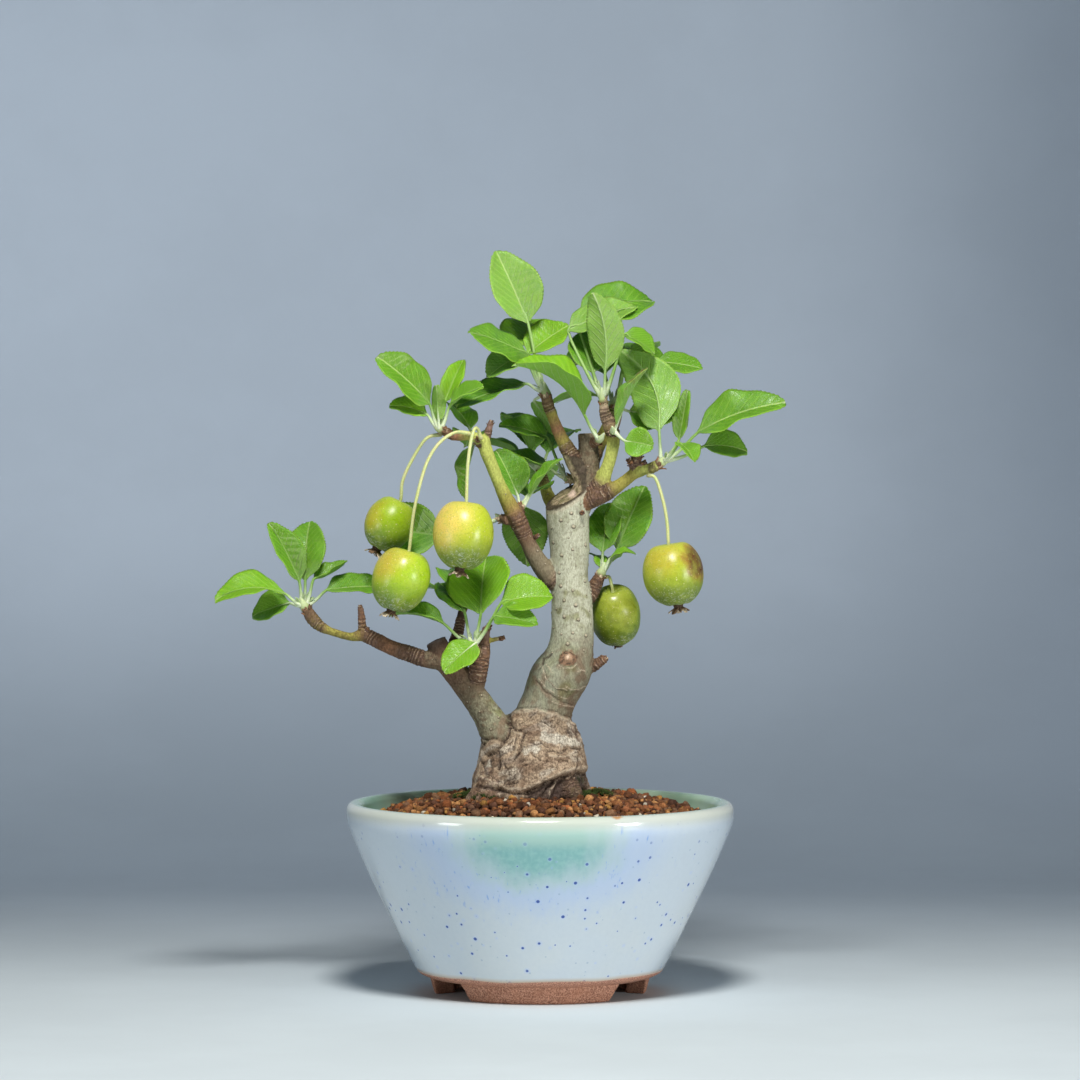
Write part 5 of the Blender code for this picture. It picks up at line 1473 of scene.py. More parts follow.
# %% The leaves of every spur
Leaf = namedtuple("Leaf",
                  "heading rise blade width petiole petiole_rise roll droop fold sweep petiole_turn",
                  defaults=(0, 0.1, 24, 0, 0))
SPURS = {
    "leaves_far_left": ("low_branch", [Leaf(196, -3, 24, 14, 7.5, 34, -25, 0.14),
        Leaf(165, -18, 14, 12, 5, 12, -50, 0.04), Leaf(172, 63, 22, 12, 8.5, 80, -50, 0.05, 40),
        Leaf(82, 66, 21, 14, 9, 82, 0, 0.14, 20), Leaf(18, 26, 13, 8, 9.5, 72, 20, -0.06, 45),
        Leaf(16, 2, 20, 12, 9, 36, 30, 0.04)]),
    "leaves_left_crown": ("left_twig", [Leaf(200, 40, 24, 16, 9, 68, -55, 0.05, 20),
        Leaf(186, 12, 13, 10, 6, 50, -40, 0.1), Leaf(256, 76, 12, 5, 3, 66, 0, 0, 40),
        Leaf(338, 28, 14, 12, 8, 66, 30, 0.08), Leaf(48, 58, 17, 8, 9, 76, 30, 0.05, 40)]),
    "leaves_low_front": ("spur_side", [Leaf(84, 46, 24, 24, 11, 76, -14, 0.06, 26, 0, -60),
        Leaf(4, 5, 17, 17, 17, 57, 50, 0.1, 26), Leaf(340, -8, 15.5, 12, 12, 54, 40, 0.06),
        Leaf(168, 8, 19, 11, 12, 37, -20, 0.1, 36),
        Leaf(215, -35, 15.5, 10.5, 2, 30, -35, 0.05, 12, 0, 85),
        Leaf(130, 34, 16, 12, 12, 70, -20, 0.06)]),
    "leaves_crown_left": ("top_twig", [Leaf(165, 65, 26.2, 19.5, 24, 76, -58, 0.03, 32),
        Leaf(205, 20, 22.5, 19, 14, 64, -38, 0.03, 0), Leaf(34, 29, 19, 14, 14, 65, 30, 0.04, 25, 0, 130),
        Leaf(96, 31, 20, 21, 15.2, 70, 0, 0.04, 14, 0, 42), Leaf(200, -30, 15, 14, 14, 60, -35, 0.1),
        Leaf(188, -17, 24.8, 13.5, 6.7, 25, -22, 0.03, 18),
        Leaf(50, -45, 15, 9, 5, -35, 0, 0.03, 20, 0, 100)]),
    "leaves_crown_right": ("right_twig", [Leaf(232, 75, 26.2, 12.5, 9.5, 86, 30, 0.03, 24, 0.07, 98),
        Leaf(2, 20, 24.6, 15, 26, 60, 40, 0.05, 15, 0, 148),
        Leaf(14, 16, 27, 19, 28, 65, 46, 0.13, 16, 0, 116), Leaf(10, -30, 12, 13, 22, 72, 30, 0.08, 20),
        Leaf(95, 50, 18, 16, 10, 60, 0, 0.05, 20, 0, 35)]),
    "leaves_right_end": ("right_branch", [Leaf(150, 60, 31, 17, 10.6, 84, 110, 0.06, 16, 0.15),
        Leaf(350, 17, 31, 17, 15, 40, 40, 0.08, 24), Leaf(14, -8, 15, 12, 15, 20, 46, 0.1, 20),
        Leaf(304, -36, 10, 9, 11, 34, 0, 0.1), Leaf(40, 76, 17, 7, 10, 46, 30, 0, 50)]),
    "leaves_trunk_right": ("right_spur", [Leaf(70, 62, 18, 13, 7, 82, 0, 0.06),
        Leaf(14, 66, 23, 16, 9.5, 56, 62, 0.06, 20), Leaf(348, 12, 9, 5, 5, 60, 20, 0.18),
        Leaf(96, 40, 6, 4, 2, 60, 0, 0.08), Leaf(84, -6, 15, 12, 8, 26, 0, 0.1)]),
    "leaves_behind_branch": ("ring_spur", [Leaf(150, 60, 17, 14, 4, 70, -40, 0.06),
        Leaf(348, 50, 17, 8, 4, 54, 30, 0.05, 40), Leaf(66, 10, 15, 14, 5, 40, 0, 0.08),
        Leaf(84, -60, 23, 15, 4, 0, 0, 0.04, 10)]),
    "leaves_behind_fruit": ("behind_spur", [Leaf(158, 6, 26, 20, 22, -16, -72, 0.04),
        Leaf(140, -18, 12, 12, 4, -20, -50, 0.08)]),
    "leaves_branch_top": ("tip_bud", [Leaf(200, -80, 18, 13, 1.5, -60, 0, 0.04),
        Leaf(100, -14, 16, 12, 5, 20, 0, 0.1), Leaf(130, 34, 15, 11, 5, 50, 0, 0.1)]),
    "leaves_crown_middle": ("stub_bud", [Leaf(206, 32, 30.5, 24, 10.2, 56, -26, 0.13, 42)]),
    "leaves_node": ("node_bud", [Leaf(344, -10, 10, 10, 5, -40, 66, 0.06, 16),
        Leaf(346, 62, 22, 11, 2, 60, 20, 0.05, 34)]),
    "leaves_crown_back": ("back_twig", [Leaf(16, -12, 15, 14, 17, 76, 20, 0.1),
        Leaf(350, -10, 16, 12, 20, 46, 35, 0.04, 10), Leaf(56, 20, 22, 16, 13, 68, 0, 0.1),
        Leaf(120, 10, 22, 16, 12, 60, 0, 0.1), Leaf(350, -6, 16, 16, 5.5, -25, 60, 0.03),
        Leaf(178, -12, 16, 12, 6, 30, 0, 0.1)]),
    "leaves_back_left": ("collar_spur", [Leaf(164, 4, 20, 13, 8, 30, -10, 0.08),
        Leaf(176, 14, 17, 12, 15, 64, -30, 0.08), Leaf(50, -20, 15, 12, 5, 10, 0, 0.1)]),
    "leaves_back": ("back_branch", [Leaf(60, 20, 20, 15, 8, 50, 0, 0.1),
        Leaf(120, 30, 22, 16, 8, 60, 0, 0.1), Leaf(170, 10, 20, 14, 8, 40, 0, 0.1),
        Leaf(90, -22, 20, 14, 5, 10, 0, 0.1), Leaf(200, 50, 17, 13, 7, 66, 0, 0.08)]),
    "leaves_low_back": ("dark_twig", [Leaf(140, 14, 14, 11, 4, 30, 0, 0.1),
        Leaf(104, 20, 19, 14, 6, 50, 0, 0.1), Leaf(52, 24, 16, 12, 5, 50, 0, 0.1)]),
}
# A tone for each leaf in turn: deep, middle, bright, light with wool on it, or grey-green. Deep and
# bright are partly painted shade and painted light: shaded leaves at the back take the deep tint and lit
# leaves the bright one.
TONES = {
    "leaves_far_left": "bdmmmm", "leaves_left_crown": "mbmmb", "leaves_low_front": "bbmmbd",
    "leaves_crown_left": "lmbbgdg", "leaves_crown_right": "lldmd", "leaves_right_end": "lmmmm",
    "leaves_trunk_right": "ddbbd", "leaves_behind_branch": "dmdd", "leaves_behind_fruit": "dd",
    "leaves_branch_top": "dmd", "leaves_crown_middle": "b", "leaves_node": "mg",
    "leaves_crown_back": "dmddmd", "leaves_back_left": "dmd", "leaves_back": "dmddm",
    "leaves_low_back": "dmd",
}
SCORCHED = ("leaves_node", 1)
print(sum(len(leaves) for _, leaves in SPURS.values()), "leaves on", len(SPURS), "spurs")

# %% [markdown]
# ## Shaping one blade
# u runs along the midrib from 0 to 1, and s across it from -1 to 1. Side veins leave the midrib in
# turn and sweep forward. A small function gives the phase of that pattern, which both the raised
# panels of the mesh and the veins of the material follow, so relief and colour agree.

# %% Blade shape
BLADE_STATIONS = 48
BLADE_LANES = [-1, -0.93, -0.72, -0.45, -0.2, -0.05, 0.05, 0.2, 0.45, 0.72, 0.93, 1]
BLADE_THICKNESS = 0.26
VEIN_PAIRS = 8.5
VEIN_SLANT = 1.15
TOOTH_DEPTH = 0.56
LEAF_START = 0.25
SHOOT_GAP = 0.3


def flat_grid(bm, along, across):
    """The points of a flat grid from -1 to 1 both ways."""
    return bmesh.ops.create_grid(bm, x_segments=along, y_segments=across, size=1)["verts"]


def faces_of(points):
    return list({face for v in points for face in v.link_faces})


def upright_to(axis):
    """The turn that takes straight up to this axis."""
    return Vector((0, 0, 1)).rotation_difference(axis).to_matrix()


def limb_end(limb):
    """A limb's last point, its radius there and the way it points."""
    before, end = LIMBS[limb][-2:]
    tip = Vector(end[:3])
    return tip, end[3], (tip - Vector(before[:3])).normalized()


def direction(heading, rise):
    """A unit vector by compass heading (0 right, 90 away) and rise, in degrees."""
    h, r = math.radians(heading), math.radians(rise)
    return Vector((math.cos(h) * math.cos(r), math.sin(h) * math.cos(r), math.sin(r)))


def blade_frame(leaf):
    """The blade's own directions: along its midrib, across it and out of its upper face."""
    along = direction(leaf.heading, leaf.rise)
    up = Vector((0, 0, 1))
    normal = (up - along * up.dot(along)).normalized()
    normal = Matrix.Rotation(math.radians(leaf.roll), 3, along) @ normal
    return along, normal.cross(along), normal


def half_width(leaf, u):
    """An oval that narrows to the leaf stalk and ends in a short point."""
    oval = math.sin(math.pi * (0.03 + 0.95 * u) ** 0.85) ** 0.75
    base = step_up(u, -0.02, 0.14)
    tip = 1 - 0.55 * step_up(u, 0.93, 1)
    return leaf.width / 2 * oval * (0.35 + 0.65 * base) * tip


def vein_phase(u, across):
    """Counts side veins along the blade, from the distance along and across as shares of its length."""
    return VEIN_PAIRS * (u - VEIN_SLANT * abs(across)) + (0.5 if across < 0 else 0)


def blade_place(leaf, base, u, s, ways, wave):
    """Where a point of the blade lies, with teeth, folded halves, wavy edges and raised panels."""
    along, side, normal = ways
    half = half_width(leaf, u)
    arch = 4 * u * (1 - u)
    fold = math.radians(leaf.fold)
    across = s * half / leaf.blade
    bent = math.sqrt(s * s + 0.02) - math.sqrt(0.02)
    panel = 0.5 - 0.5 * math.cos(vein_phase(u, across) * math.tau)
    lift = leaf.blade * leaf.droop * arch + bent * half * math.sin(fold)
    lift += 0.009 * leaf.blade * panel * min(1, 5 * abs(s)) * (1 - s * s)
    ripple = math.sin(wave + 8.5 * u + (1.9 if s > 0 else 0))
    ripple += 0.5 * math.sin(2.3 * wave + 17 * u * (1.1 if s > 0 else 1))
    lift += 0.03 * leaf.blade * s * s * ripple * arch
    lift += 0.035 * leaf.blade * (u * u * math.sin(wave * 3) + s * u * math.sin(wave * 5))
    place = base + along * (leaf.blade * u) + side * (leaf.blade * leaf.sweep * arch)
    return place + side * (s * half * math.cos(fold)) + normal * lift, across


def add_blade(bm, layers, leaf, base, wave, tint, wool, scorched=False):
    """Lays a grid out as a blade, gives it its thickness and sorts its faces into upper and lower."""
    vein, colour = layers
    ways = blade_frame(leaf)
    lanes = len(BLADE_LANES) - 1
    grid = flat_grid(bm, BLADE_STATIONS, lanes)
    for v in grid:
        station = round((v.co.x + 1) / 2 * BLADE_STATIONS)
        lane = round((v.co.y + 1) / 2 * lanes)
        s = BLADE_LANES[lane]
        u = station / BLADE_STATIONS
        place, across = blade_place(leaf, base, u, s, ways, wave)
        if abs(s) == 1 and 2 < station < BLADE_STATIONS:
            out = 1 if station % 2 else -0.5
            place += ways[1] * math.copysign(TOOTH_DEPTH * out, s) + ways[0] * (0.2 if station % 2 else 0)
        v.co = place
        v[vein] = (u, across, abs(s))
        shade = 1 + 0.12 * noise(place / 6)
        woolly = wool + (0.22 + 0.5 * wool) * step_up(0.3 - u, 0, 0.3)
        burnt = step_up(u + 0.35 * noise(place / 1.6) + 0.12 * abs(s), 0.72, 0.88) if scorched else 0
        v[colour] = (*mixed([c * shade for c in tint], (0.13, 0.045, 0.02), burnt), min(1, woolly))
    upper = sorted(faces_of(grid), key=lambda face: face.calc_center_median()[:])
    if sum(face.normal.dot(ways[2]) for face in upper) < 0:
        bmesh.ops.reverse_faces(bm, faces=upper)
    made = bmesh.ops.solidify(bm, geom=upper, thickness=BLADE_THICKNESS)["geom"]
    return upper, [face for face in made if isinstance(face, bmesh.types.BMFace)]


# %% Leaf stalks and shoots
STALK_SIDES = 8


def add_stalk(bm, layers, start, base, leaf, tint, wool):
    """A leaf stalk that runs on as the midrib under the blade, thinning out towards the tip."""
    vein, colour = layers
    ways = blade_frame(leaf)
    sag = Vector((0, 0, -0.05)) * leaf.petiole
    middle = start.lerp(base, 0.5) + sag
    route = [(*start, 0.86), (*middle, 0.54), (*base, 0.46)]
    for u in (0.2, 0.45, 0.7, 0.9):
        place, _ = blade_place(leaf, base, u, 0, ways, 0)
        place -= ways[2] * (0.12 + 0.14 * (1 - u))
        route.append((*place, 0.34 * (1 - u) + 0.06))
    for v in sweep(bm, smooth_route(route, 3), STALK_SIDES):
        v[vein] = (0, 0, 0)
        near = step_up(9 - (v.co - start).length, 0, 9)
        v[colour] = (*mixed(mixed(tint, (0.3, 0.48, 0.12), 0.5), (0.64, 0.72, 0.46), 0.8 * near),
                     max(wool, near))


def add_stipule(bm, layers, start, heading, rise, length, tint):
    """One of the small narrow leaflets at the foot of a leaf stalk."""
    leaf = Leaf(heading, rise, length, length * 0.26, 0, 0, 0, 0.1, 20)
    vein, colour = layers
    ways = blade_frame(leaf)
    grid = flat_grid(bm, 8, 2)
    for v in grid:
        u = (v.co.x + 1) / 2
        v.co, across = blade_place(leaf, start, u, v.co.y, ways, 0)
        v[vein] = (u, across, 0)
        v[colour] = (*tint, 0.5)
    bmesh.ops.solidify(bm, geom=faces_of(grid), thickness=0.2)


def build_spur(name, draw):
    """The leaves of one spur, with the short woolly shoot that they spring from."""
    limb, leaves = SPURS[name]
    tip, radius, axis = limb_end(limb)
    low = tip + axis * SHOOT_GAP
    bm = bmesh.new()
    layers = (bm.verts.layers.float_vector.new("vein"), bm.verts.layers.float_color.new("tint"))
    vein, colour = layers
    lean = (axis + Vector((0, 0, 0.5))).normalized()
    shape = [(-0.6, 0, 0.96), (1.2, 0, 0.94), (2.2, 0, 0.78), (2.2, 1.4, 0.52), (2.2, 2.8, 0.22)]
    route = [(*(low + axis * up + lean * over), radius * share) for up, over, share in shape]
    for v in sweep(bm, smooth_route(route, 3), 16):
        high = (v.co - low).dot(axis) / 4.6
        ringed = 0.5 + 0.5 * math.sin((v.co - low).dot(axis) * 6)
        green = mixed((0.38, 0.46, 0.16), (0.5, 0.6, 0.32), high)
        v[vein] = (0, 0, 0)
        v[colour] = (*mixed(BARK["brown"], green, step_up(high + 0.1 * ringed, 0.02, 0.3)), 0.55 * high)
    for face in bm.faces:
        face.material_index = 2
    for i, leaf in enumerate(leaves):
        turn = leaf.heading + leaf.petiole_turn
        start = low + axis * 1.5 + direction(turn, 0) * (LEAF_START + 0.35)
        base = low + axis * 1.5 + direction(turn, 0) * LEAF_START
        base += direction(turn, leaf.petiole_rise) * leaf.petiole
        young = step_up(18 - leaf.blade, 0, 8)
        green, wool = TONE_TINTS[TONES[name][i]]
        green = mixed(green, (0.24, 0.5, 0.02), 0.25 * young)
        green = mixed(green, LEAF_GREENS[draw.randrange(len(LEAF_GREENS))], 0.2)
        upper, lower = add_blade(bm, layers, leaf, base, draw.uniform(0, 6), green, wool,
                                 (name, i) == SCORCHED)
        for face in upper:
            face.material_index = 0
        for face in lower:
            face.material_index = 1
        seen = set(bm.faces)
        add_stalk(bm, layers, start, base, leaf, green, wool)
        if leaf.petiole > 6:
            for hand in (-1, 1):
                place = start.lerp(base, 0.12)
                add_stipule(bm, layers, place, turn + hand * 35, leaf.petiole_rise + 8,
                            draw.uniform(2.6, 4.2), mixed(green, (0.5, 0.6, 0.3), 0.4))
        for face in bm.faces:
            if face not in seen:
                face.material_index = 2
    return bm


# %% [markdown]
# ## Leaf finishes
# The upper face is a clear green with pale, sunken veins and a soft sheen; light that enters it
# comes out on the far side, which subsurface scattering stands in for. The lower face is paler,
# matt and grey-green with its veins raised. Stalks and shoots are pale and woolly near the wood.

# %% Leaf finishes
LEAF_GREENS = [(0.12, 0.36, 0.01), (0.16, 0.42, 0.012), (0.09, 0.28, 0.012), (0.19, 0.45, 0.014)]
# Each tone's green, and how woolly its leaves are. The deep and bright greens carry painted shade and
# painted light.
TONE_TINTS = {
    "d": ((0.06, 0.175, 0.006), 0.02), "m": ((0.088, 0.232, 0.005), 0.04),
    "b": ((0.195, 0.415, 0.006), 0.02), "l": ((0.165, 0.345, 0.02), 0.26),
    "g": ((0.11, 0.24, 0.045), 0.14),
}


def vein_masks(tree):
    """The midrib, the side veins and the panels between them, from the blade's own attribute."""
    u, across, edge = add(tree, "SeparateXYZ", {0: painted(tree, "vein")["Vector"]})
    far = abs(across)
    midrib = ramp(far, 0.004, 0.02, 1, 0)
    phase = (u - far * VEIN_SLANT) * VEIN_PAIRS
    phase = phase + across.step("LESS_THAN", 0) * 0.5
    near = abs((phase + 0.5).step("FRACT") - 0.5)
    veins = ramp(near, 0.02, 0.11, 1, 0)
    veins = veins * ramp(edge, 0.55, 1, 1, 0.15)
    return midrib, veins, near, edge


def leaf_upper_finish():
    finish, tree, shader = start_finish("leaf_upper", 0.42, Subsurface_Weight=0.22,
                                        Subsurface_Scale=0.001, Specular_IOR_Level=0.34)
    shader.inputs["Subsurface Radius"].default_value = (0.6, 1, 0.08)
    tint = painted(tree, "tint")
    place = pot_space(tree)
    midrib, veins, near, edge = vein_masks(tree)
    net = add(tree, "TexVoronoi", {"Vector": place, "Scale": 1 / 0.75},
              feature="DISTANCE_TO_EDGE")["Distance"]
    net = ramp(net, 0.02, 0.16, 1, 0)
    patch = mottle(place, 1 / 4, 3)
    colour = blend(ramp(patch, 0.35, 0.7, 0, 0.3), tint["Color"], (0.19, 0.44, 0.012))
    colour = blend(ramp(near, 0.1, 0.45, 0, 0.26), colour, (0.05, 0.2, 0.006))
    colour = blend(net * 0.2, colour, (0.24, 0.46, 0.05))
    colour = blend(veins * 0.32, colour, (0.3, 0.53, 0.08))
    colour = blend(midrib * 0.55, colour, (0.48, 0.66, 0.22))
    # Painted highlight: a thin pale margin round the blade, as light catching its rim.
    colour = blend(ramp(edge, 0.94, 1, 0, 0.4), colour, (0.34, 0.56, 0.06))
    down = tint["Alpha"] * ramp(mottle(place, 1 / 0.35, 2), 0.3, 0.7, 0.15, 0.75)
    colour = blend(down, colour, (0.5, 0.62, 0.36))
    lead(colour, shader)
    lead(ramp(patch, 0.3, 0.7, 0.3, 0.46), shader, "Roughness")
    height = veins.step("MAXIMUM", midrib) * -0.45 + net * -0.22
    relief(shader, height, 0.24)
    return finish


def leaf_lower_finish():
    finish, tree, shader = start_finish("leaf_lower", 0.7, Subsurface_Weight=0.25,
                                        Subsurface_Scale=0.0012, Specular_IOR_Level=0.25)
    shader.inputs["Subsurface Radius"].default_value = (0.55, 1, 0.15)
    tint = painted(tree, "tint")["Color"]
    place = pot_space(tree)
    midrib, veins, _, _ = vein_masks(tree)
    fuzz = mottle(place, 1 / 0.4, 3)
    pale = blend(0.5, tint, (0.25, 0.45, 0.085))
    pale = blend(ramp(fuzz, 0.35, 0.7, 0, 0.35), pale, (0.4, 0.55, 0.21))
    pale = blend(veins * 0.4, pale, (0.42, 0.56, 0.26))
    pale = blend(midrib * 0.7, pale, (0.52, 0.64, 0.34))
    lead(pale, shader)
    height = veins.step("MAXIMUM", midrib) * 0.8 + fuzz * 0.2
    relief(shader, height, 0.25)
    return finish


def young_stem_finish():
    finish, tree, shader = start_finish("young_stem", 0.6, Subsurface_Weight=0.2, Subsurface_Scale=0.001)
    shader.inputs["Subsurface Radius"].default_value = (0.8, 1, 0.3)
    tint = painted(tree, "tint")
    place = pot_space(tree)
    fuzz = mottle(place, 1 / 0.3, 3)
    wool = ramp(fuzz, 0.35, 0.65, 0.2, 0.8) * tint["Alpha"]
    colour = blend(wool, tint["Color"], (0.76, 0.82, 0.64))
    lead(colour, shader)
    relief(shader, fuzz, 0.1)
    return finish


# %% Grow the spurs
LEAF_SEED = 3
leaf_finishes = [leaf_upper_finish(), leaf_lower_finish(), young_stem_finish()]
leaf_draw = random.Random(LEAF_SEED)
for spur_name in SPURS:
    keep_piece(spur_name.replace("leaves_", "foliage_"), build_spur(spur_name, leaf_draw), leaf_finishes,
               [spur_name])

# %% [markdown]
# ## Crabapples
# A fruit is turned like the pot: its side view has a shallow dimple for the stalk and a narrow
# basin at the eye. It is spun on its own axis, leaned as it hangs, and made a little uneven.
# The skin's larger changes of colour, such as the sunny cheek and the darker underside, which is partly
# painted shade, are kept on the points.

# %% Fruit shapes and places
Fruit = namedtuple("Fruit", "centre width height lean stalk")
FRUITS = {
    "fruit_left_back": Fruit((-50.2, -4, 156.4), 16.4, 17.6, (0.5, 0), [(-32.6, -7.3, 186.4),
        (-37.8, -7.2, 184.9), (-42.4, -6.6, 178), (-45.6, -5.6, 171)]),
    "fruit_left_low": Fruit((-46, -18, 138.4), 19.2, 20.6, (0.3, 0), [(-22.9, -12.6, 186.6),
        (-28, -14, 187), (-33.2, -15.4, 183.6), (-37.2, -16.2, 177.4), (-40, -17, 168.4),
        (-41.8, -17.6, 159.4)]),
    "fruit_front": Fruit((-25.3, -22, 153.2), 20.2, 22.2, (0.1, 0.1), [(-19.5, -13.3, 184.8),
        (-20.4, -15, 187.8), (-21.6, -17, 188.2), (-22.8, -18.6, 184), (-23.8, -19.9, 176)]),
    "fruit_right": Fruit((44.2, -9, 140), 20.4, 20.8, (-0.16, 0), [(35.6, -8.4, 172.9),
        (38.4, -9.4, 171.6), (41, -9.4, 163.6), (42.2, -9.2, 156.6)]),
    "fruit_behind_trunk": Fruit((25.2, 10, 125.4), 17.4, 20.2, (-0.1, -0.4), [(21.9, 4.4, 138.6),
        (23.2, 6.6, 138.4)]),
}
FRUIT_STEPS = 64
# A fruit's skin: body, underside and cheek tints, where the cheek faces and how far it reaches. The
# darker underside tint is partly the fruit's own colour and partly painted shade.
SKINS = {
    "fruit_left_back": ((0.3, 0.46, 0.01), (0.13, 0.22, 0.02), (0.46, 0.4, 0.03), (-0.9, -0.5, 0.5), 0.3),
    "fruit_left_low": ((0.36, 0.54, 0.015), (0.17, 0.28, 0.022), (0.58, 0.46, 0.06), (-0.5, -0.5, 0.8),
                       0.36),
    "fruit_front": ((0.45, 0.53, 0.022), (0.15, 0.23, 0.016), (0.8, 0.59, 0.13), (-0.75, -0.45, 0.65),
                    0.6),
    "fruit_right": ((0.36, 0.44, 0.018), (0.16, 0.24, 0.018), (0.5, 0.42, 0.045), (-0.4, -0.6, 0.7),
                    0.35),
    "fruit_behind_trunk": ((0.165, 0.245, 0.012), (0.11, 0.17, 0.012), (0.26, 0.29, 0.025),
                           (0.2, -0.8, 0.2), 0.3),
}
BLEMISH = ("fruit_right", (0.8, -0.42, 0.42))


def fruit_axis(fruit):
    """From the fruit's eye up to its stalk."""
    return Vector((fruit.lean[0], fruit.lean[1], 1)).normalized()


def fruit_profile(fruit):
    """From the stalk's dimple down the side to the eye, as a smooth curve."""
    w, h = fruit.width / 2, fruit.height / 2
    points = [(0, h * 0.8), (w * 0.16, h * 0.86), (w * 0.42, h * 0.985), (w * 0.72, h * 0.82),
              (w * 0.94, h * 0.44), (w, h * 0.04), (w * 0.925, h * -0.4), (w * 0.71, h * -0.76),
              (w * 0.42, h * -0.97), (w * 0.22, h * -0.99), (0, h * -0.92)]
    return [(max(p.x, 0), p.y) for p in eased([(*q, 0) for q in points], 4)]


def build_fruit(name):
    fruit = FRUITS[name]
    body, under, cheek, cheek_way, reach = SKINS[name]
    bm = bmesh.new()
    chain = [bm.verts.new((r, 0, z)) for r, z in fruit_profile(fruit)]
    edges = [bm.edges.new(pair) for pair in zip(chain, chain[1:])]
    bmesh.ops.spin(bm, geom=chain + edges, cent=(0, 0, 0), axis=(0, 0, 1), angle=math.tau,
                   steps=FRUIT_STEPS, use_merge=True)
    bmesh.ops.remove_doubles(bm, verts=bm.verts, dist=0.01)
    bmesh.ops.recalc_face_normals(bm, faces=bm.faces)
    axis = fruit_axis(fruit)
    turn = upright_to(axis)
    toward = Vector(cheek_way).normalized()
    tint = bm.verts.layers.float_color.new("tint")
    offset = Vector(fruit.centre) * 0.37
    for v in bm.verts:
        way = v.co.normalized()
        lobes = 0.012 * math.cos(5 * math.atan2(v.co.y, v.co.x)) * step_up(-way.z, 0.1, 0.9)
        v.co *= 1 + lobes + 0.022 * noise(way * 1.1 + offset) - 0.012
        out = turn @ way
        # Painted shade in part: the lower half takes the darker underside tint.
        low = step_up(-way.z, -0.25, 0.75)
        colour = mixed(body, under, low * 0.8)
        sunny = step_up(out.dot(toward) + 0.12 * noise(out * 3 + offset), 1 - 1.6 * reach, 1.05)
        colour = mixed(colour, cheek, sunny)
        colour = mixed(colour, (0.54, 0.6, 0.09), 0.4 * step_up(way.z, 0.6, 0.95))
        # The bloom at the bottom is waxy and rougher, and it is also painted darker as painted shade
        # under the fruit.
        bloom_and_shade = step_up(-way.z + 0.22 * noise(out * 2.5 + offset), 0.3, 0.9)
        colour = mixed(colour, (0.13, 0.2, 0.055), bloom_and_shade * 0.65)
        if name == BLEMISH[0]:
            sore = out.dot(Vector(BLEMISH[1]).normalized()) + 0.1 * noise(out * 4.5)
            sore += 0.05 * noise(out * 11)
            colour = mixed(colour, (0.3, 0.11, 0.035), 0.75 * step_up(sore, 0.72, 0.84))
            colour = mixed(colour, (0.1, 0.022, 0.018), 0.92 * step_up(sore, 0.82, 0.93))
        v[tint] = (*colour, bloom_and_shade)
        v.co = Vector(fruit.centre) + turn @ v.co
    return bm


def fruit_finish():
    finish, tree, shader = start_finish("crabapple_skin", 0.36, Subsurface_Weight=0.12,
                                        Subsurface_Scale=0.002, IOR=1.45)
    shader.inputs["Subsurface Radius"].default_value = (1, 0.8, 0.15)
    tinted = painted(tree, "tint")
    tint, bloom_and_shade = tinted["Color"], tinted["Alpha"]
    place = pot_space(tree)
    cloud = mottle(place, 1 / 3, 4, 0.6)
    fine = mottle(place, 1 / 0.5, 3)
    colour = blend(ramp(cloud, 0.38, 0.7, 0, 0.35), tint, (0.5, 0.58, 0.06))
    colour = blend(ramp(fine, 0.45, 0.72, 0, 0.35), colour, (0.14, 0.22, 0.012))
    spots = add(tree, "TexVoronoi", {"Vector": place, "Scale": 1 / 0.82})
    pick = add(tree, "SeparateColor", {0: spots["Color"]})[0]
    size = pick ** 2.2 * 0.24 + 0.06
    dots = ramp(spots["Distance"] / size, 0.5, 1.2, 1, 0)
    colour = blend(dots * 0.62, colour, (0.74, 0.72, 0.36))
    scurf = mottle(place, 1 / 0.9, 4, 0.7, 0.6)
    dust = ramp(scurf, 0.52, 0.62) * (bloom_and_shade * 0.75 + 0.05)
    colour = blend(dust, colour, (0.56, 0.61, 0.46))
    lead(colour, shader)
    lead(bloom_and_shade * 0.25 + ramp(cloud, 0.3, 0.7, 0.26, 0.4), shader, "Roughness")
    height = dots * 0.45 + (dust * 0.5 + cloud * 0.5)
    relief(shader, height, 0.12)
    return finish


# %% Hang the fruit
skin = fruit_finish()
for fruit_name in FRUITS:
    keep_piece(fruit_name.replace("fruit_", "crabapple_"), build_fruit(fruit_name), [skin],
               [fruit_name])

# %% [markdown]
# ## Stalks and dried flowers
# A fruit hangs on a long thin stalk, thicker at both ends. Under each fruit the flower's five sepals
# stay on, dry and curled back, round a tuft of withered stamens.

# %% Fruit stalks
STALK_RADIUS = 0.75


def build_fruit_stalk(fruit):
    axis = fruit_axis(fruit)
    foot = Vector(fruit.centre) + axis * (fruit.height / 2 * 0.8 + 0.15)
    inward = (axis + (Vector(fruit.stalk[-1]) - foot).normalized()).normalized()
    above = foot + inward * (fruit.height * 0.14)
    route = [Vector(p) for p in (*fruit.stalk, tuple(above), tuple(foot))]
    smooth = eased(route, 6)
    bm, tint = tinted_bmesh()
    last = len(smooth) - 1
    stations = []
    for i, p in enumerate(smooth):
        part = i / last
        radius = STALK_RADIUS * (0.74 + 0.3 * step_up(0.16 - part, 0, 0.16) + 0.26
                                 * step_up(part, 0.88, 1))
        stations.append((*p, radius))
    for v in sweep(bm, stations, 12):
        near = (v.co - smooth[0]).length
        colour = mixed((0.46, 0.54, 0.16), (0.6, 0.6, 0.26), 0.5 + 0.5 * noise(v.co / 5))
        colour = mixed(colour, (0.3, 0.2, 0.07), 0.7 * step_up(2.2 - near, 0, 2.2))
        v[tint] = (*colour, 1)
    return bm


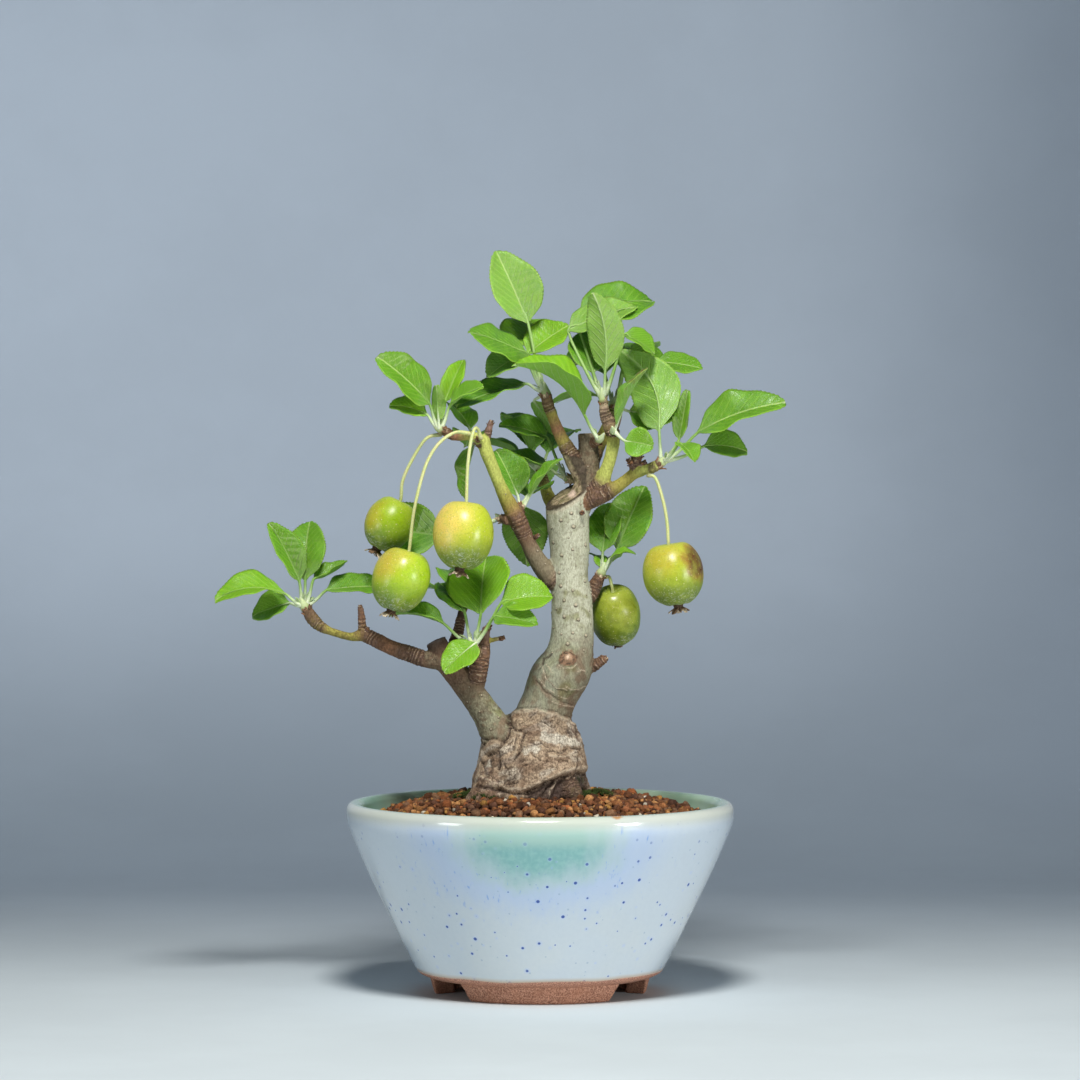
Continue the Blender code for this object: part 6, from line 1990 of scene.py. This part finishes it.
def stalk_finish():
    finish, tree, shader = start_finish("fruit_stalk", 0.5, Subsurface_Weight=0.15,
                                        Subsurface_Scale=0.001)
    tint = painted(tree, "tint")["Color"]
    place = pot_space(tree)
    down = mottle(place, 1 / 0.35, 3)
    colour = blend(ramp(down, 0.4, 0.7, 0, 0.5), tint, (0.72, 0.72, 0.48))
    lead(colour, shader)
    relief(shader, down, 0.08)
    return finish


stalk_skin = stalk_finish()
for fruit_name, fruit in FRUITS.items():
    keep_piece(fruit_name.replace("fruit_", "fruit_stalk_"), build_fruit_stalk(fruit), [stalk_skin],
               [fruit_name + "_stalk"])

# %% Dried calyxes
CALYX_SEED = 17
CALYX_SIZES = {"fruit_behind_trunk": 0.5}


def build_calyx(fruit, draw, size):
    axis = fruit_axis(fruit)
    top = Vector(fruit.centre) - axis * (fruit.height / 2 * 0.97)
    turn = upright_to(axis)
    bm, tint = tinted_bmesh()
    button = [(*(top + axis * 0.4), 1.5), (*(top - axis * 0.4), 1.75), (*(top - axis * 1.2), 1.45),
              (*(top - axis * 1.7), 0.9)]
    for v in sweep(bm, button, 12):
        v[tint] = (0.085, 0.055, 0.035, 1)
    for i in range(5):
        angle = math.tau * i / 5 + 0.4 + draw.uniform(-0.15, 0.15)
        out = turn @ Vector((math.cos(angle), math.sin(angle), 0))
        beside = axis.cross(out)
        curl = draw.uniform(0.7, 1.25)
        pale = draw.random() < 0.55
        grid = flat_grid(bm, 8, 2)
        for v in grid:
            u, s = (v.co.x + 1) / 2, v.co.y
            half = (1.05 * (1 - u) ** 0.7 + 0.1) * size
            turned = curl * u * 2.2
            reach = 0.9 + 3.3 * math.sin(min(turned, 1.9)) / 1.35
            drop = 1 + 2.7 * u - 1.5 * max(0, turned - 1.2)
            v.co = top + (out * reach - axis * drop) * size + beside * (s * half) + out * (0.25 * s * s)
            shade = 0.7 + 0.6 * draw.random()
            base = (0.62, 0.52, 0.38) if pale and u > 0.3 else (0.19, 0.12, 0.072)
            v[tint] = (*(c * shade for c in base), 1)
        bmesh.ops.solidify(bm, geom=faces_of(grid), thickness=0.28)
    for _ in range(9):
        angle = draw.uniform(0, math.tau)
        out = turn @ Vector((math.cos(angle), math.sin(angle), 0))
        root = top - axis * 1.3 + out * 0.5
        tip = root + (out * draw.uniform(0.2, 0.9) - axis * draw.uniform(0.9, 1.7)) * size
        for v in sweep(bm, [(*root, 0.16), (*root.lerp(tip, 0.6), 0.12), (*tip, 0.2)], 5):
            v[tint] = (0.3, 0.2, 0.11, 1)
    return bm


def calyx_finish():
    finish, tree, shader = start_finish("dried_calyx", 0.85, Specular_IOR_Level=0.2)
    tint = painted(tree, "tint")["Color"]
    place = pot_space(tree)
    wrinkle = mottle(place, 1 / 0.4, 3)
    colour = blend(1, tint, blend(ramp(wrinkle, 0.3, 0.7), (0.45, 0.42, 0.4), (1.5, 1.5, 1.45)),
                   "MULTIPLY")
    lead(colour, shader)
    relief(shader, wrinkle, 0.15)
    return finish


calyx_skin = calyx_finish()
calyx_draw = random.Random(CALYX_SEED)
for fruit_name, fruit in FRUITS.items():
    keep_piece(fruit_name.replace("fruit_", "dried_flower_"),
               build_calyx(fruit, calyx_draw, CALYX_SIZES.get(fruit_name, 1)), [calyx_skin],
               [fruit_name + "_calyx"])


# %% [markdown]
# ## Bud scales
# Every spur ends in a collar of small dry scales where last winter's bud opened, and several buds
# never opened at all. A scale is a short pointed grid, cupped round the twig. Rows of them from the
# outside in make a bud; one loose row makes a collar.

# %% Buds and collars
BUD_SEED = 29
# A closed or ragged bud: its middle, the way it points, its radius and its length, in mm.
BUDS = [
    ((32.3, -5.8, 178.4), (0.25, -0.2, 1), 1.7, 4.6), ((30.2, -6.6, 177), (-0.6, -0.3, 0.8), 1.2, 3.4),
    ((34, -6.6, 176.6), (0.9, -0.3, 0.5), 1.1, 3), ((-16.4, -9.4, 189.8), (0.2, -0.1, 1), 0.95, 2.8),
    ((-20.6, -11.4, 184.8), (-0.6, -0.7, 0.5), 1, 2.6), ((-17.6, -9.2, 121.6), (0.5, -0.3, 1), 1.25, 4.2),
    ((-19.6, -9.6, 119.4), (-0.5, -0.5, 0.9), 1.1, 3.2), ((-12.6, -9.5, 118.9), (1, -0.1, 0.3), 0.8, 2),
    ((-59.8, -5.2, 128.4), (-0.1, -0.1, 1), 0.8, 2.6), ((-57.6, -6.4, 121.4), (0.5, -0.6, 0.8), 0.9, 2.2),
    ((21.4, -2.2, 111.6), (0.9, -0.2, 0.5), 1.3, 2.2), ((27.2, -4.6, 195.6), (0.2, -0.1, 1), 0.8, 2.4),
    ((-1, -5.6, 152.6), (0.8, -0.6, 0.6), 0.8, 2.2), ((14, -7.2, 160.4), (0.3, -1, 0.2), 0.8, 1.6),
]


def add_scale(bm, tint, foot, out, up, width, length, flare, colour):
    """One dry scale standing on the twig at foot, cupped, leaning out by flare."""
    across = up.cross(out).normalized()
    grid = flat_grid(bm, 5, 3)
    for v in grid:
        u, s = (v.co.x + 1) / 2, v.co.y
        half = width * math.sqrt(max(0, 1 - u * u)) + 0.04
        v.co = foot + up * (length * u) + across * (s * half)
        v.co += out * (flare * u * u * length - 0.45 * width * s * s)
        v[tint] = (*(c * (0.75 + 0.5 * u) for c in colour), 1)
    bmesh.ops.solidify(bm, geom=faces_of(grid), thickness=0.16)


def add_bud(bm, tint, middle, way, radius, length, draw):
    up = Vector(way).normalized()
    foot = Vector(middle) - up * length * 0.5
    core = [(*foot, radius * 0.85), (*(foot + up * length * 0.45), radius * 0.8),
            (*(foot + up * length * 0.85), radius * 0.2)]
    for v in sweep(bm, core, 10):
        v[tint] = (*BARK["brown"], 1)
    side = up.orthogonal().normalized()
    for row in range(3):
        for i in range(5):
            turn = Matrix.Rotation(math.tau * (i + 0.5 * row) / 5 + draw.uniform(-0.2, 0.2), 3, up)
            out = turn @ side
            start = foot + up * (length * 0.24 * row) + out * radius * (0.9 - 0.15 * row)
            colour = mixed(BARK[draw.choice(("plum", "rust", "brown", "tan"))], BARK["umber"],
                           draw.uniform(0, 0.5))
            add_scale(bm, tint, start, out, up, radius * 0.62, length * 0.52, draw.uniform(0, 0.5),
                      colour)


def build_buds():
    draw = random.Random(BUD_SEED)
    bm, tint = tinted_bmesh()
    for middle, way, radius, length in BUDS:
        add_bud(bm, tint, middle, way, radius, length, draw)
    for limb, _ in SPURS.values():
        tip, radius, up = limb_end(limb)
        side = up.orthogonal().normalized()
        for i in range(9):
            out = Matrix.Rotation(math.tau * i / 9 + draw.uniform(-0.3, 0.3), 3, up) @ side
            start = tip + up * draw.uniform(-1.6, 0) + out * radius * 0.95
            colour = mixed(BARK[draw.choice(("tan", "rust", "brown", "cream"))], BARK["brown"],
                           draw.uniform(0, 0.6))
            add_scale(bm, tint, start, out, up, draw.uniform(0.5, 0.9), draw.uniform(1.4, 2.8),
                      draw.uniform(0.05, 0.5), colour)
    return bm


keep_piece("bud_scales", build_buds(), [calyx_skin])
